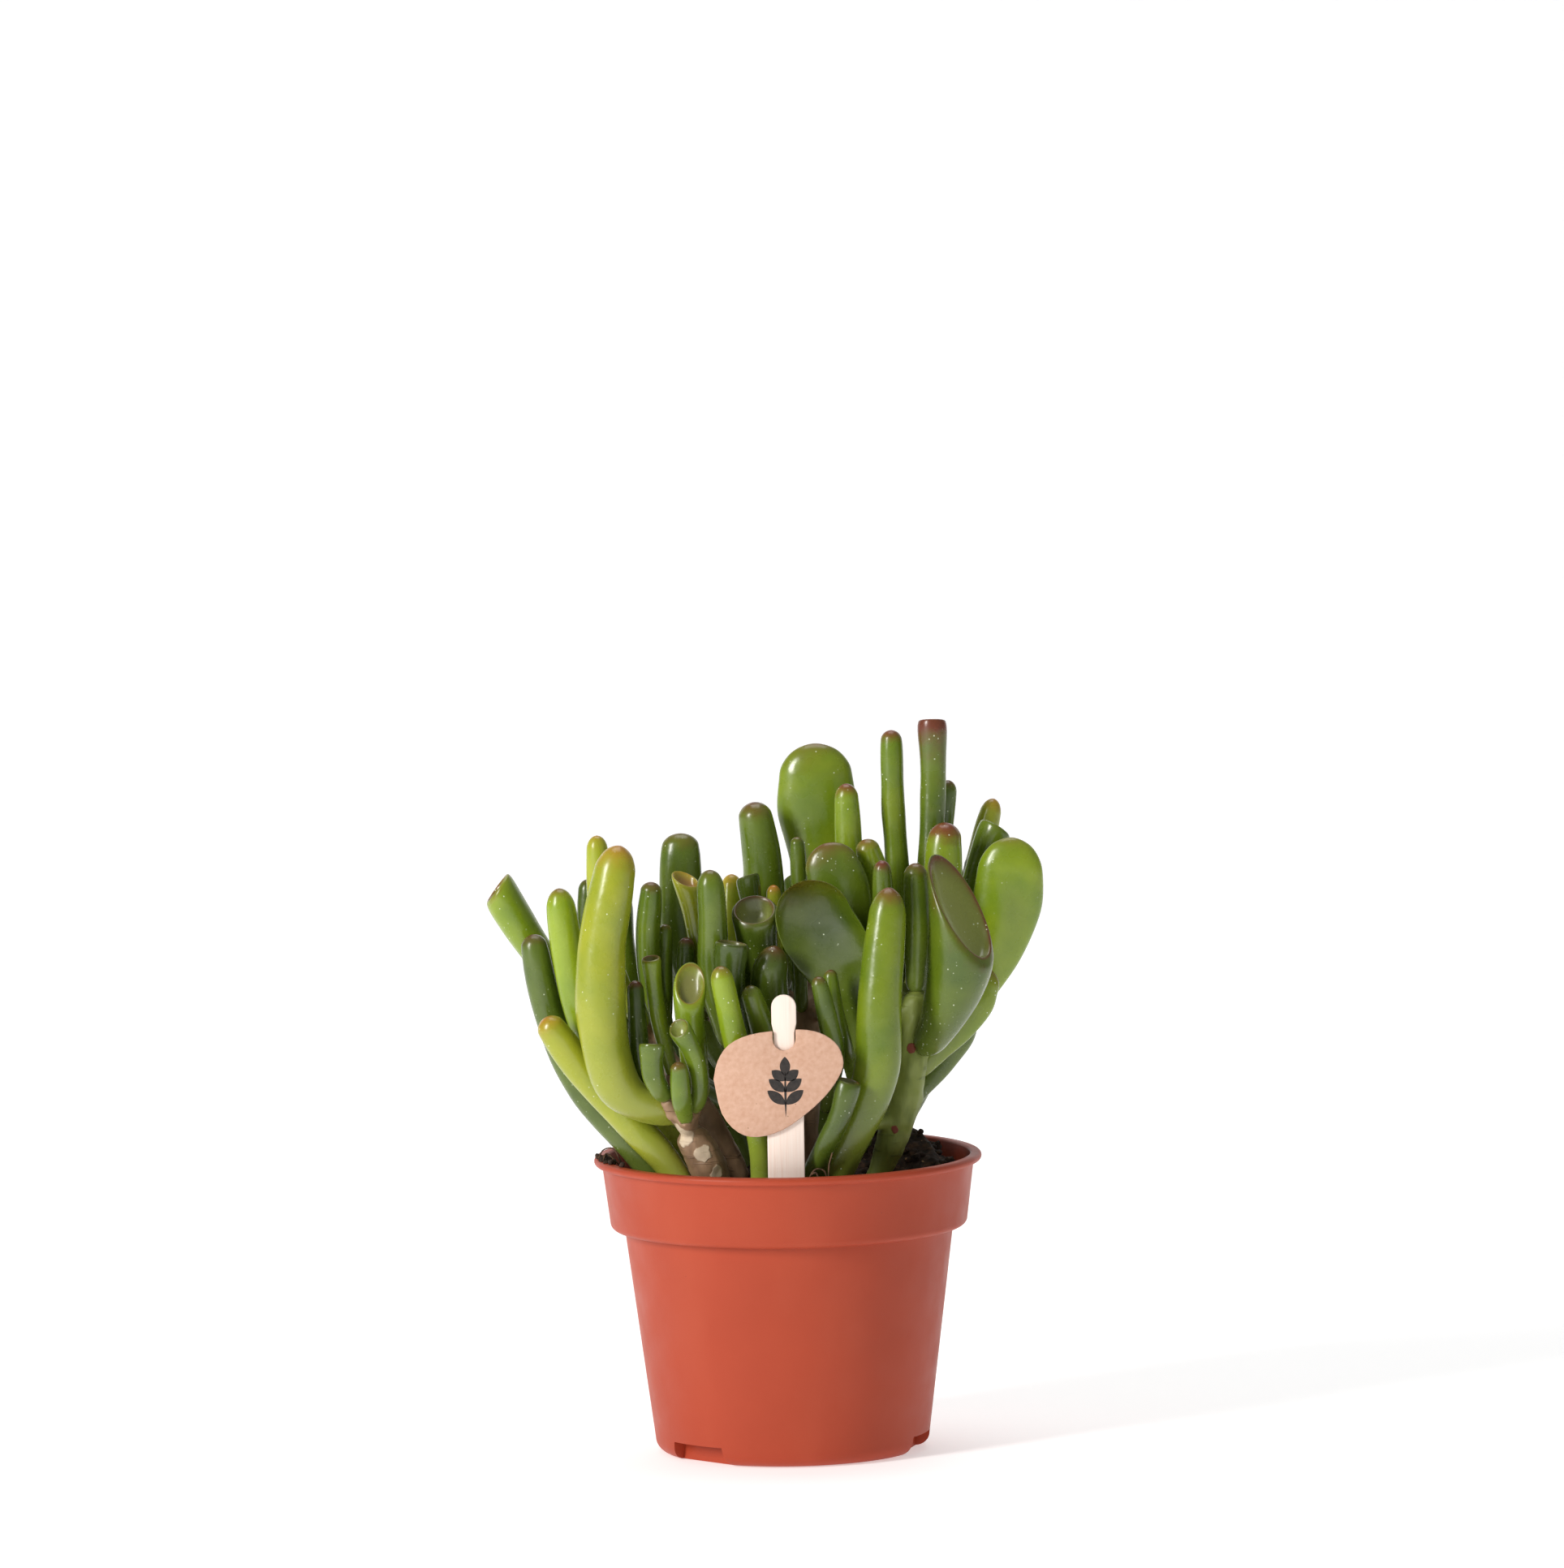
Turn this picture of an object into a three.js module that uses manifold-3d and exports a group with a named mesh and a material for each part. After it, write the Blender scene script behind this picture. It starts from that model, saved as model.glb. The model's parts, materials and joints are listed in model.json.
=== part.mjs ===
// Potted jade plant of the finger-leaved kind: a moulded nursery pot with three drainage niches, filled with
// peat, six fleshy stems, fifty thick leaves (fingers, paddles and cup-tipped trumpets) and a wooden pick
// that carries a plain card. Millimetres, +Z up. The origin is the centre of the pot's base, on the surface.
import * as THREE from "three";
import { mergeVertices } from "three/addons/utils/BufferGeometryUtils.js";
import Module from "manifold-3d";

const wasm = await Module();
wasm.setup();

// ---- Driving dimensions ----
const GAP = 0.3; // clearance between pieces that touch
const POT_RADIUS = 60; // outside of the rolled lip
const POT_HEIGHT = 92;
const POT_WALL = 1.2;
const POT_SIDES = 48;
const BASE_RADIUS = 38; // outer edge of the flat foot ring
const BASE_CORNER = 4.5; // rounding between the foot ring and the wall
const COLLAR_HEIGHT = 22.4; // from the step up to the lip's top
const COLLAR_STEP = 4.4; // how far the collar stands out of the wall
const COLLAR_CORNER = 2.1; // rounding of the collar's lower edge
const COLLAR_FLARE = 2.3; // the collar's outward lean up to the lip
const LIP_HEIGHT = 2.4;
const LIP_OVERHANG = 2.4;
const FLOOR_THICKNESS = 1.6;
const FLOOR_RAISE = 1.5; // the floor stands clear of the surface between pad and foot ring
const CENTRE_PAD_RADIUS = 12;
const FOOT_RING_WIDTH = 5;

const NICHE_COUNT = 3; // drainage niches under the wall
const NICHE_FIRST_TURN = -45; // degrees round from the front, towards +X
const NICHE_WIDTH = 20.5;
const NICHE_HEIGHT = 5.8;
const NICHE_DEPTH = 6;
const DRAIN_SLOT = [12, 2.2]; // slot in each niche's roof, across and in depth

const SOIL_BELOW_RIM = 7.5;
const SOIL_MOUND = 13; // rise of the mound behind the plant, at the right
const SOIL_SIDES = 28;

const PICK_WIDTH = 11.3;
const PICK_NECK_WIDTH = 6.4;
const PICK_HEAD_WIDTH = 7.6;
const PICK_THICKNESS = 1.6;
const PICK_TOP = 55; // above the rim
const PICK_DEPTH = 34; // below the rim
const PICK_SHOULDER = 38; // height above the rim where the blade narrows to the neck
const PICK_POINT = 12;
const PICK_ACROSS = -0.5; // its middle, to the right of the pot's
const PICK_CLEARANCE = 0.9; // from the pot's wall to the point of the pick
const CARD_THICKNESS = 1;
const CARD_HALF_HEIGHT = 16.5;
const CARD_CENTRE = [-2.5, 28]; // across, and above the rim
const CARD_NOTCH_DEPTH = 6.5;

const LEAF_SIDES = 8;
const LEAF_GIRTH = 1; // share of every leaf's listed width
const STEM_GIRTH = 1;
const SHOOT_WIDTH = 5; // the short side shoots that carry the leaves
const SHOOT_SEAT = 2; // how far a shoot's end is let into the foot of its leaf

// ---- Solids ----
function solidOf(geometry) {
  const bare = geometry.index ? geometry.toNonIndexed() : geometry.clone();
  for (const name of ["normal", "uv"]) bare.deleteAttribute(name);
  const merged = mergeVertices(bare, 1e-4);
  return new wasm.Manifold(
    new wasm.Mesh({
      numProp: 3,
      vertProperties: new Float32Array(merged.attributes.position.array),
      triVerts: new Uint32Array(merged.index.array),
    }),
  );
}

function geometryOf(solid) {
  const mesh = solid.getMesh();
  const step = mesh.numProp;
  const points = new Float32Array(mesh.numVert * 3);
  for (let i = 0; i < mesh.numVert; i++) {
    points.set(mesh.vertProperties.subarray(i * step, i * step + 3), i * 3);
  }
  return new THREE.BufferGeometry()
    .setAttribute("position", new THREE.BufferAttribute(points, 3))
    .setIndex(new THREE.BufferAttribute(mesh.triVerts, 1));
}

// The biggest of a solid's bodies, after a neighbour has cut it.
function mainBody(solid) {
  return solid.decompose().reduce((most, body) => (body.volume() > most.volume() ? body : most));
}

function box(width, depth, height, at) {
  return solidOf(new THREE.BoxGeometry(width, depth, height).translate(...at));
}

function lathe(profile, sides) {
  const points = profile.map(([radius, height]) => new THREE.Vector2(radius, height));
  return new THREE.LatheGeometry(points, sides).rotateX(Math.PI / 2);
}

// Points of a rounded corner: centre, radius, first and last angle in degrees.
function arc([x, y], radius, from, to, steps = 4) {
  return Array.from({ length: steps + 1 }, (_, i) => {
    const angle = THREE.MathUtils.degToRad(from + ((to - from) * i) / steps);
    return [x + radius * Math.cos(angle), y + radius * Math.sin(angle)];
  });
}

// ---- Pot ----
const collarFoot = POT_HEIGHT - COLLAR_HEIGHT;
const collarRadius = POT_RADIUS - LIP_OVERHANG;
const wallTopRadius = collarRadius - COLLAR_FLARE - COLLAR_STEP;
const lipFoot = POT_HEIGHT - LIP_HEIGHT;
const floorTop = FLOOR_RAISE + FLOOR_THICKNESS;

function potOutline() {
  const footIn = BASE_RADIUS - FOOT_RING_WIDTH;
  const collarLow = collarRadius - COLLAR_FLARE;
  return [
    [0, 0],
    [CENTRE_PAD_RADIUS, 0],
    [CENTRE_PAD_RADIUS + FLOOR_RAISE, FLOOR_RAISE],
    [footIn - FLOOR_RAISE, FLOOR_RAISE],
    [footIn, 0],
    ...arc([BASE_RADIUS, BASE_CORNER], BASE_CORNER, -90, 0),
    [wallTopRadius, collarFoot],
    ...arc([collarLow - COLLAR_CORNER, collarFoot + COLLAR_CORNER], COLLAR_CORNER, -80, 0),
    [collarRadius, lipFoot],
    ...arc([POT_RADIUS - LIP_HEIGHT / 2, POT_HEIGHT - LIP_HEIGHT / 2], LIP_HEIGHT / 2, -70, 90),
  ];
}

// The inner skin, from the rim down to the floor's centre.
function potInside(gap = 0) {
  const thick = POT_WALL + gap;
  return [
    [collarRadius - thick, POT_HEIGHT],
    [collarRadius - COLLAR_FLARE - thick, collarFoot + COLLAR_CORNER],
    [wallTopRadius - thick, collarFoot],
    [BASE_RADIUS + BASE_CORNER - thick, BASE_CORNER],
    [BASE_RADIUS + BASE_CORNER / 2 - thick, floorTop + gap],
    [0, floorTop + gap],
  ];
}

// One block per niche, grown by a margin on the sides that face the soil.
function nicheBlocks(margin) {
  const reach = NICHE_DEPTH + margin;
  const outer = BASE_RADIUS + BASE_CORNER + 4;
  const inner = BASE_RADIUS + BASE_CORNER - reach;
  return Array.from({ length: NICHE_COUNT }, (_, i) =>
    box(NICHE_WIDTH + 2 * margin, outer - inner, NICHE_HEIGHT + margin + 1, [
      0,
      -(outer + inner) / 2,
      (NICHE_HEIGHT + margin - 1) / 2,
    ]).rotate([0, 0, NICHE_FIRST_TURN + (360 / NICHE_COUNT) * i]),
  );
}

function makePot() {
  const outside = solidOf(lathe([...potOutline(), [0, POT_HEIGHT]], POT_SIDES));
  const cavity = [...potInside().toReversed(), [0, POT_HEIGHT + 1]];
  const inside = solidOf(lathe(cavity, POT_SIDES));
  let pot = outside.subtract(inside.subtract(wasm.Manifold.union(nicheBlocks(POT_WALL))));
  pot = pot.subtract(wasm.Manifold.union(nicheBlocks(0)));
  for (let i = 0; i < NICHE_COUNT; i++) {
    const at = [0, -(BASE_RADIUS + BASE_CORNER - NICHE_DEPTH + DRAIN_SLOT[1]), NICHE_HEIGHT];
    const slot = box(DRAIN_SLOT[0], DRAIN_SLOT[1], 4 * POT_WALL, at);
    pot = pot.subtract(slot.rotate([0, 0, NICHE_FIRST_TURN + (360 / NICHE_COUNT) * i]));
  }
  return pot;
}

// ---- Plant: heights are above the pot's rim ----
const FINGER = "finger";
const PADDLE = "paddle";
const CUP = "cup";
const EAR = "ear";
const SHOOT = "shoot";

// Girth along a piece, from tip to base: [share of its length, share of its width].
const BODIES = {
  finger: [[1, 0.86], [0.74, 0.97], [0.46, 1], [0.2, 0.86], [0, 0.6]],
  paddle: [[1, 0.95], [0.83, 1], [0.58, 0.74], [0.3, 0.47], [0, 0.38]],
  cup: [[1, 1], [0.76, 0.92], [0.48, 0.88], [0.2, 0.8], [0, 0.6]],
  ear: [[1, 1], [0.74, 1], [0.44, 0.86], [0.18, 0.62], [0, 0.42]],
  shoot: [[1, 1], [0.5, 1], [0, 1]],
};
const MOUTHED = [CUP, EAR]; // forms that end in a hollow mouth
const THICK_LIP = [[1, 0, 1, -0.7], [1, 0.52, 1, -0.5], [1, 0.86, 1, 0.12]];
const THIN_LIP = [[1, 0, 1, -0.6], [1, 0.62, 1, -0.42], [1, 0.93, 1, 0.07]];
const CAP_TURNS = { finger: [90, 58, 28], paddle: [90, 58, 28], shoot: [90, 40] };

// Stations from tip to base. Each is [share of length, share of girth, share of the mouth's tilt, height
// above that place in half widths]. The first and the last close the piece.
function stations(form, pointed) {
  const mouthed = MOUTHED.includes(form);
  const body = BODIES[form].map(([share, girth]) => [share, girth, mouthed ? share ** 2 : 0, 0]);
  const shoulder = body[0][1];
  const mouth = form === EAR ? THIN_LIP : THICK_LIP;
  const cap = (CAP_TURNS[form] ?? []).map((turn) => {
    const angle = THREE.MathUtils.degToRad(turn);
    return [1, shoulder * Math.cos(angle), 0, shoulder * pointed * Math.sin(angle)];
  });
  return [...(mouthed ? mouth : cap), ...body, [0, 0, 0, -0.35]];
}

// A sphere's grid drawn out along a curve: across by width, through by thickness.
function sweep(curve, rows, { width, thickness, face, tilt, dish, capped }, grow) {
  const grid = new THREE.SphereGeometry(1, LEAF_SIDES, rows.length - 1);
  const place = grid.attributes.position;
  const length = curve.getLength();
  for (let i = 0; i < place.count; i++) {
    const row = Math.floor(i / (LEAF_SIDES + 1));
    const turn = ((i % (LEAF_SIDES + 1)) / LEAF_SIDES) * 2 * Math.PI;
    const [share, girth, slant, above] = rows[row];
    const axis = curve.getTangentAt(share);
    const up = face.clone().addScaledVector(axis, -face.dot(axis)).normalize();
    const side = new THREE.Vector3().crossVectors(axis, up);
    const across = (width / 2 + grow) * girth;
    const through = (thickness / 2 + grow) * girth;
    const x = -across * Math.cos(turn);
    const y = through * Math.sin(turn) * (turn > 0 && turn < Math.PI ? 1 - dish * share : 1);
    const lift = (above * width) / 2 - slant * Math.tan(tilt) * y + Math.sign(above) * grow;
    const centre = curve.getPointAt(share * (1 - capped / length));
    centre.addScaledVector(side, x).addScaledVector(up, y).addScaledVector(axis, lift);
    place.setXYZ(i, ...centre);
  }
  return grid;
}

// A smooth line through a piece's points.
function curveOf(path) {
  const points = path.map((point) => new THREE.Vector3(...point));
  return new THREE.CatmullRomCurve3(points, false, "centripetal");
}

const PLAIN = { thick: 0.9, face: [0, -1, 0], tilt: 0, pointed: 1, dish: 0 };

function leafSolid(spec, grow = 0) {
  const { form, width, path, thick, face, tilt, pointed, dish } = { ...PLAIN, ...spec };
  const rows = stations(form, pointed);
  const mouthed = MOUTHED.includes(form);
  const blade = {
    width,
    thickness: width * thick,
    face: new THREE.Vector3(...face),
    tilt: THREE.MathUtils.degToRad(tilt),
    dish,
    capped: mouthed ? 0 : (rows[0][3] * width) / 2,
  };
  return solidOf(sweep(curveOf(path), rows, blade, grow));
}

const leaf = (name, form, width, path, more) => ({ name, form, width: width * LEAF_GIRTH, path, ...more });
const woody = { pointed: 0.5, thick: 1 };
const stem = (name, width, path) => ({ name, form: FINGER, width: width * STEM_GIRTH, path, ...woody });
const shoot = (path) => ({ form: SHOOT, width: SHOOT_WIDTH * STEM_GIRTH, path, ...woody });

const STEMS = [
  stem("front_left_stem", 12, [[-21, -27, -7], [-25, -29, 1], [-30.5, -30.5, 12]]),
  stem("left_branch", 8.5, [[-14, -6, -7], [-22, -6, 8], [-33, -3, 24], [-41, 0, 36]]),
  stem("centre_branch", 9, [[-4, -2, -7], [-7, -3, 12], [-12, -2, 28], [-15, 0, 40]]),
  stem("middle_branch", 9, [[6, 8, -7], [6, 9, 18], [7, 10, 44]]),
  stem("right_branch", 11, [[27, -12, -7], [34, -14, 10], [38, -14, 26], [40, -13, 42], [40.5, -12, 51]]),
  stem("right_back_branch", 9, [[20, 12, -7], [26, 11, 14], [36, 10, 36], [40, 9, 46]]),
];

const LEAVES = [
  leaf("left_leaf_1", CUP, 12.4, [[-38, 2, 22], [-54, 4, 36], [-75, 2, 62], [-88, 1, 83.5]], {
    face: [-1, 0, 0.2], tilt: 22,
  }),
  leaf("left_leaf_2", FINGER, 9.6,
    [[-38, -13, -9], [-46, -13, 2], [-57, -12, 13], [-66, -11, 29], [-74.5, -12, 52], [-77.5, -12, 71]]),
  leaf("left_leaf_3", FINGER, 10.6, [[-45, -16, 16], [-58, -18, 35], [-66, -19, 62], [-69, -20, 86]], {
    pointed: 1.6,
  }),
  leaf("left_leaf_4", FINGER, 15.4,
    [[-35, -31, 18], [-44, -33, 18.5], [-53, -35, 29], [-56.5, -36, 50], [-55, -36, 76], [-49.5, -36, 100.5]],
    { pointed: 1.6 }),
  leaf("left_leaf_5", FINGER, 7.6, [[-44, -8, 42], [-53, -14, 60], [-56.5, -18, 81], [-57, -19, 102]], {
    pointed: 1.4,
  }),
  leaf("left_leaf_6", FINGER, 10.6,
    [[-31, -27, -8], [-44, -23.5, 9.5], [-56, -24, 22], [-66, -27, 35], [-74, -30, 47]]),
  leaf("left_leaf_7", FINGER, 8, [[-37, -8, 40], [-41, -9, 55], [-42, -10, 69], [-40.5, -11, 86.5]]),
  leaf("left_leaf_8", FINGER, 13.8, [[-24, 3, 44], [-30.5, 5, 64], [-31.5, 7, 83], [-31.5, 8, 99.5]], {
    thick: 0.7, pointed: 0.8,
  }),
  leaf("left_leaf_9", CUP, 8.6, [[-22, -7, 46], [-25, -8, 62], [-27.5, -8, 76], [-30, -9, 86.5]], {
    face: [0.8, -0.5, 0.2], tilt: 38,
  }),
  leaf("left_leaf_10", FINGER, 9.6, [[-17, -12, 36], [-21.5, -18, 55], [-22, -20, 73], [-22.5, -21, 91]], {
    pointed: 1.4,
  }),
  leaf("left_leaf_11", CUP, 5.6, [[-35, -23, 28], [-39, -26, 46], [-41, -28, 64.5]], { tilt: 10 }),
  leaf("left_leaf_12", CUP, 9.8, [[-27, -29, 22], [-28.5, -33, 37], [-29.5, -35, 48], [-29, -36, 57]], {
    tilt: 55,
  }),
  leaf("left_leaf_13", CUP, 6.8,
    [[-29, -37, 19], [-26.5, -41, 25], [-27, -43, 32], [-30, -45, 40.5], [-32.5, -47, 45]],
    { face: [-0.3, -1, 0], tilt: 28 }),
  leaf("left_leaf_14", FINGER, 6.4, [[-31, -39.5, 16], [-32.3, -45.5, 24], [-33, -48, 35]]),
  leaf("left_leaf_15", CUP, 8, [[-37, -40, 23.5], [-40, -44, 28], [-41, -45.5, 33], [-41, -46, 40]], {
    face: [0.2, 1, 0], tilt: 12,
  }),
  leaf("centre_leaf_1", FINGER, 8,
    [[-8, -34, -10], [-9, -38, 14], [-14.5, -40, 36], [-18, -41, 54], [-20, -42, 63.5]],
    { pointed: 1.3 }),
  leaf("centre_leaf_2", FINGER, 8, [[-2, -24, 16], [-6, -31, 39], [-9, -34, 50], [-11.5, -35, 56.5]], {
    pointed: 1.3,
  }),
  leaf("centre_leaf_3", CUP, 10.4, [[-14, -20, 34], [-17, -28, 55], [-16, -32, 69]], {
    face: [0.3, 1, 0], tilt: 15,
  }),
  leaf("centre_leaf_4", FINGER, 12.6, [[-4, -13, 32], [-5, -20, 49], [-4.5, -24, 60], [-2.5, -25, 67.5]], {
    pointed: 1.6,
  }),
  leaf("centre_leaf_5", CUP, 14, [[-8, -4, 42], [-8, -9, 59], [-8.5, -12, 69], [-9, -15, 77]], { tilt: 20 }),
  leaf("centre_leaf_6", CUP, 7.4, [[-8, 2, 52], [-9, 1, 72], [-11, 0, 86]], { face: [-0.5, 1, 0], tilt: 20 }),
  leaf("centre_leaf_7", FINGER, 12.6, [[-2, 11, 50], [-5.5, 14, 73], [-6.5, 15, 91], [-9, 15, 108]]),
  leaf("centre_leaf_8", PADDLE, 24.6, [[9, 18, 54], [11.5, 23, 78], [11, 25, 103], [10.5, 25, 125]], {
    thick: 0.42,
  }),
  leaf("centre_leaf_9", FINGER, 9, [[17, 7, 52], [21.5, 7, 73], [20.5, 8, 94], [20, 8, 114]], {
    pointed: 1.4,
  }),
  leaf("centre_leaf_10", PADDLE, 18, [[20, -5, 44], [22, -8, 62], [18.5, -8, 80], [12.5, -8, 97]], {
    thick: 0.38,
  }),
  leaf("centre_leaf_11", PADDLE, 26.6,
    [[22, -13, 30], [21.5, -19, 46], [17, -22, 60], [10, -24, 74], [6, -25, 87.5]],
    { thick: 0.46, face: [-0.35, -0.93, 0.1], dish: 1.3 }),
  leaf("right_leaf_1", FINGER, 14,
    [[11, -33, -9], [16, -35, 3], [22.5, -36, 14.5], [28, -36, 32], [29, -36, 52], [31, -35, 70],
      [32.5, -34, 86]],
    { pointed: 1.9, thick: 0.84 }),
  leaf("right_leaf_2", FINGER, 6.6, [[29, -15, 46], [30.5, -19, 68], [30.5, -21, 93]], { pointed: 1.3 }),
  leaf("right_leaf_3", FINGER, 9, [[30, 6, 58], [29.5, 2.5, 80], [25.5, -3, 97.5]]),
  leaf("right_leaf_4", FINGER, 7.6, [[34, 12, 50], [36, 14, 73], [34.8, 16, 98], [34.2, 17, 129.5]]),
  leaf("right_leaf_5", CUP, 8.6, [[41, 11, 52], [44.5, 12, 80], [46.8, 14, 104], [47, 15, 132]], {
    face: [0, 1, 0], tilt: 10,
  }),
  leaf("right_leaf_6", FINGER, 12.4, [[43, 3, 50], [48.5, 1, 76], [50.5, 2, 102]], { pointed: 1.1 }),
  leaf("right_leaf_7", FINGER, 9, [[40.6, -12, 52], [41.3, -11.5, 68], [40.8, -12, 91]], { pointed: 1.2 }),
  leaf("right_leaf_8", CUP, 9, [[34, 14, 30], [43, 25, 42], [47, 31, 62], [47, 34, 82]], {
    face: [0.3, 1, 0], tilt: 25,
  }),
  leaf("right_leaf_9", EAR, 20,
    [[43, -18, 35], [48.5, -22, 45], [52.5, -25.5, 58], [54, -26.5, 68], [54.3, -27, 78]],
    { face: [0.8, -0.6, 0], tilt: 57, thick: 1.03 }),
  leaf("right_leaf_10", PADDLE, 14, [[40, -9, 26], [49, -9, 34], [56, -8, 44], [62, -6, 58]], { thick: 0.5 }),
  leaf("right_leaf_11", PADDLE, 12, [[34, 6, 10], [44, 11, 21], [51, 14, 31], [56, 16, 45]], { thick: 0.6 }),
  leaf("right_leaf_12", PADDLE, 21.8, [[43, 6, 28], [57, 5, 46], [66.5, 4, 66], [70, 3, 84], [71, 2, 97]], {
    thick: 0.45, pointed: 1.25,
  }),
  leaf("right_leaf_13", FINGER, 8, [[48, 20, 54], [57, 24, 76], [62, 27, 92], [66, 28, 106.5]], {
    pointed: 1.7,
  }),
  leaf("right_leaf_14", CUP, 10.6, [[47, 11, 50], [57, 14, 73], [62, 16, 88], [66, 16, 98]], {
    face: [0.6, 0.8, 0], tilt: 20,
  }),
  leaf("right_leaf_15", FINGER, 6, [[12, -29, 17], [15, -36, 34], [12, -38, 50], [10, -39, 59.5]], {
    pointed: 1.3,
  }),
  leaf("right_leaf_16", CUP, 7.4,
    [[4, -36, -9], [9.5, -42, 4], [14.5, -45, 13], [17, -46, 20], [19, -45.5, 27.5]],
    { face: [0.2, -1, 0], tilt: 10 }),
  leaf("back_leaf_1", FINGER, 10, [[-22, 14, -9], [-32, 22, 6], [-42, 28, 26], [-50, 33, 50]], {
    face: [1, -1, 0],
  }),
  leaf("back_leaf_2", CUP, 11, [[-13, 22, -9], [-19, 30, 8], [-26, 38, 28], [-31, 45, 54]], {
    face: [-0.4, 1, 0], tilt: 35,
  }),
  leaf("back_leaf_3", FINGER, 9.6, [[-3, 26, -9], [-5, 36, 10], [-8, 45, 28], [-9, 54, 56]], {
    pointed: 1.4,
  }),
  leaf("back_leaf_4", PADDLE, 17, [[6, 26, -9], [10, 38, 10], [13, 47, 30], [15, 54, 58]], { thick: 0.45 }),
  leaf("back_leaf_5", FINGER, 10.6, [[15, 22, -9], [23, 32, 10], [31, 41, 30], [36, 46, 58]], {
    pointed: 1.2,
  }),
  leaf("back_leaf_6", CUP, 10, [[26, 17, -9], [36, 22, 10], [46, 28, 26], [54, 33, 50]], {
    face: [0.7, 0.7, 0], tilt: 40,
  }),
  leaf("back_leaf_7", FINGER, 9, [[-26, 5, -9], [-38, 12, 6], [-52, 18, 20], [-63, 21, 42]], {
    pointed: 1.3,
  }),
  leaf("back_leaf_8", FINGER, 10, [[0, 26, 24], [-2, 37, 43], [-3, 42, 73]], { pointed: 1.2 }),
];

// ---- Pick and card ----
// The pick stands upright, as far forward as the sloping wall lets its point go.
const pointHeight = (POT_HEIGHT - PICK_DEPTH - BASE_CORNER) / (collarFoot - BASE_CORNER);
const boreAtPoint = THREE.MathUtils.lerp(BASE_RADIUS + BASE_CORNER, wallTopRadius, pointHeight) - POT_WALL;
const pickPlane = PICK_THICKNESS / 2 + PICK_CLEARANCE - boreAtPoint;

function makePick(grow = 0) {
  const shape = new THREE.Shape();
  const [blade, neck, head] = [PICK_WIDTH, PICK_NECK_WIDTH, PICK_HEAD_WIDTH].map((width) => width / 2 + grow);
  const crown = PICK_TOP - head;
  shape.moveTo(0, -PICK_DEPTH - grow);
  shape.lineTo(blade, -PICK_DEPTH + PICK_POINT);
  shape.lineTo(blade, PICK_SHOULDER - 4);
  shape.lineTo(neck, PICK_SHOULDER);
  shape.lineTo(neck, crown - 8);
  shape.lineTo(head, crown - 5);
  shape.absarc(0, crown, head, 0, Math.PI);
  shape.lineTo(-head, crown - 5);
  shape.lineTo(-neck, crown - 8);
  shape.lineTo(-neck, PICK_SHOULDER);
  shape.lineTo(-blade, PICK_SHOULDER - 4);
  shape.lineTo(-blade, -PICK_DEPTH + PICK_POINT);
  const depth = PICK_THICKNESS + 2 * grow;
  const blank = new THREE.ExtrudeGeometry(shape, { depth, bevelEnabled: false, curveSegments: 6 });
  const upright = blank.translate(0, 0, -depth / 2).rotateX(Math.PI / 2);
  return solidOf(upright.translate(PICK_ACROSS, pickPlane, POT_HEIGHT));
}

// Outline of the card round its own centre: a pebble, fuller at the upper right.
const CARD_OUTLINE = [
  [-19.8, 1.5], [-18.5, 7], [-15, 12], [-8.5, 15], [1, 16.2], [9, 16.2], [14.5, 14.5], [18.5, 11],
  [20, 6], [18.5, 1.5], [14.5, -4], [8.5, -9.5], [1, -14.5], [-6.5, -16.5], [-12.5, -15], [-17.5, -9],
];

function makeCard(grow = 0) {
  const scale = 1 + grow / CARD_HALF_HEIGHT;
  const corners = [...CARD_OUTLINE, CARD_OUTLINE[0]].map(([x, z]) => new THREE.Vector2(x * scale, z * scale));
  const shape = new THREE.Shape(new THREE.SplineCurve(corners).getPoints(48).slice(0, -1));
  const thickness = CARD_THICKNESS + 2 * grow;
  const plate = new THREE.ExtrudeGeometry(shape, { depth: thickness, bevelEnabled: false });
  const back = pickPlane - PICK_THICKNESS / 2 - GAP + grow;
  const centre = [CARD_CENTRE[0], back, POT_HEIGHT + CARD_CENTRE[1]];
  const halfNotch = PICK_NECK_WIDTH / 2 + GAP - grow;
  const notch = new THREE.Shape();
  notch.moveTo(-halfNotch, CARD_NOTCH_DEPTH);
  notch.lineTo(-halfNotch, 0);
  notch.absarc(0, 0, halfNotch, Math.PI, 2 * Math.PI);
  notch.lineTo(halfNotch, CARD_NOTCH_DEPTH);
  const depth = 3 * thickness;
  const cutter = new THREE.ExtrudeGeometry(notch, { depth, bevelEnabled: false, curveSegments: 4 });
  const at = [PICK_ACROSS, back + thickness, centre[2] + CARD_HALF_HEIGHT - CARD_NOTCH_DEPTH + halfNotch];
  return solidOf(plate.rotateX(Math.PI / 2).translate(...centre)).subtract(
    solidOf(cutter.rotateX(Math.PI / 2).translate(...at)),
  );
}

// ---- Soil ----
const soilLine = POT_HEIGHT - SOIL_BELOW_RIM;

// Height of the peat over its level: heaped behind the stems, with shallow lumps.
function soilRise(x, y) {
  const heap = SOIL_MOUND * Math.exp(-(((x - 34) / 24) ** 2) - ((y - 24) / 20) ** 2);
  return heap + 0.8 * Math.sin(x / 6.5) * Math.cos(y / 7.5);
}

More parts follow.
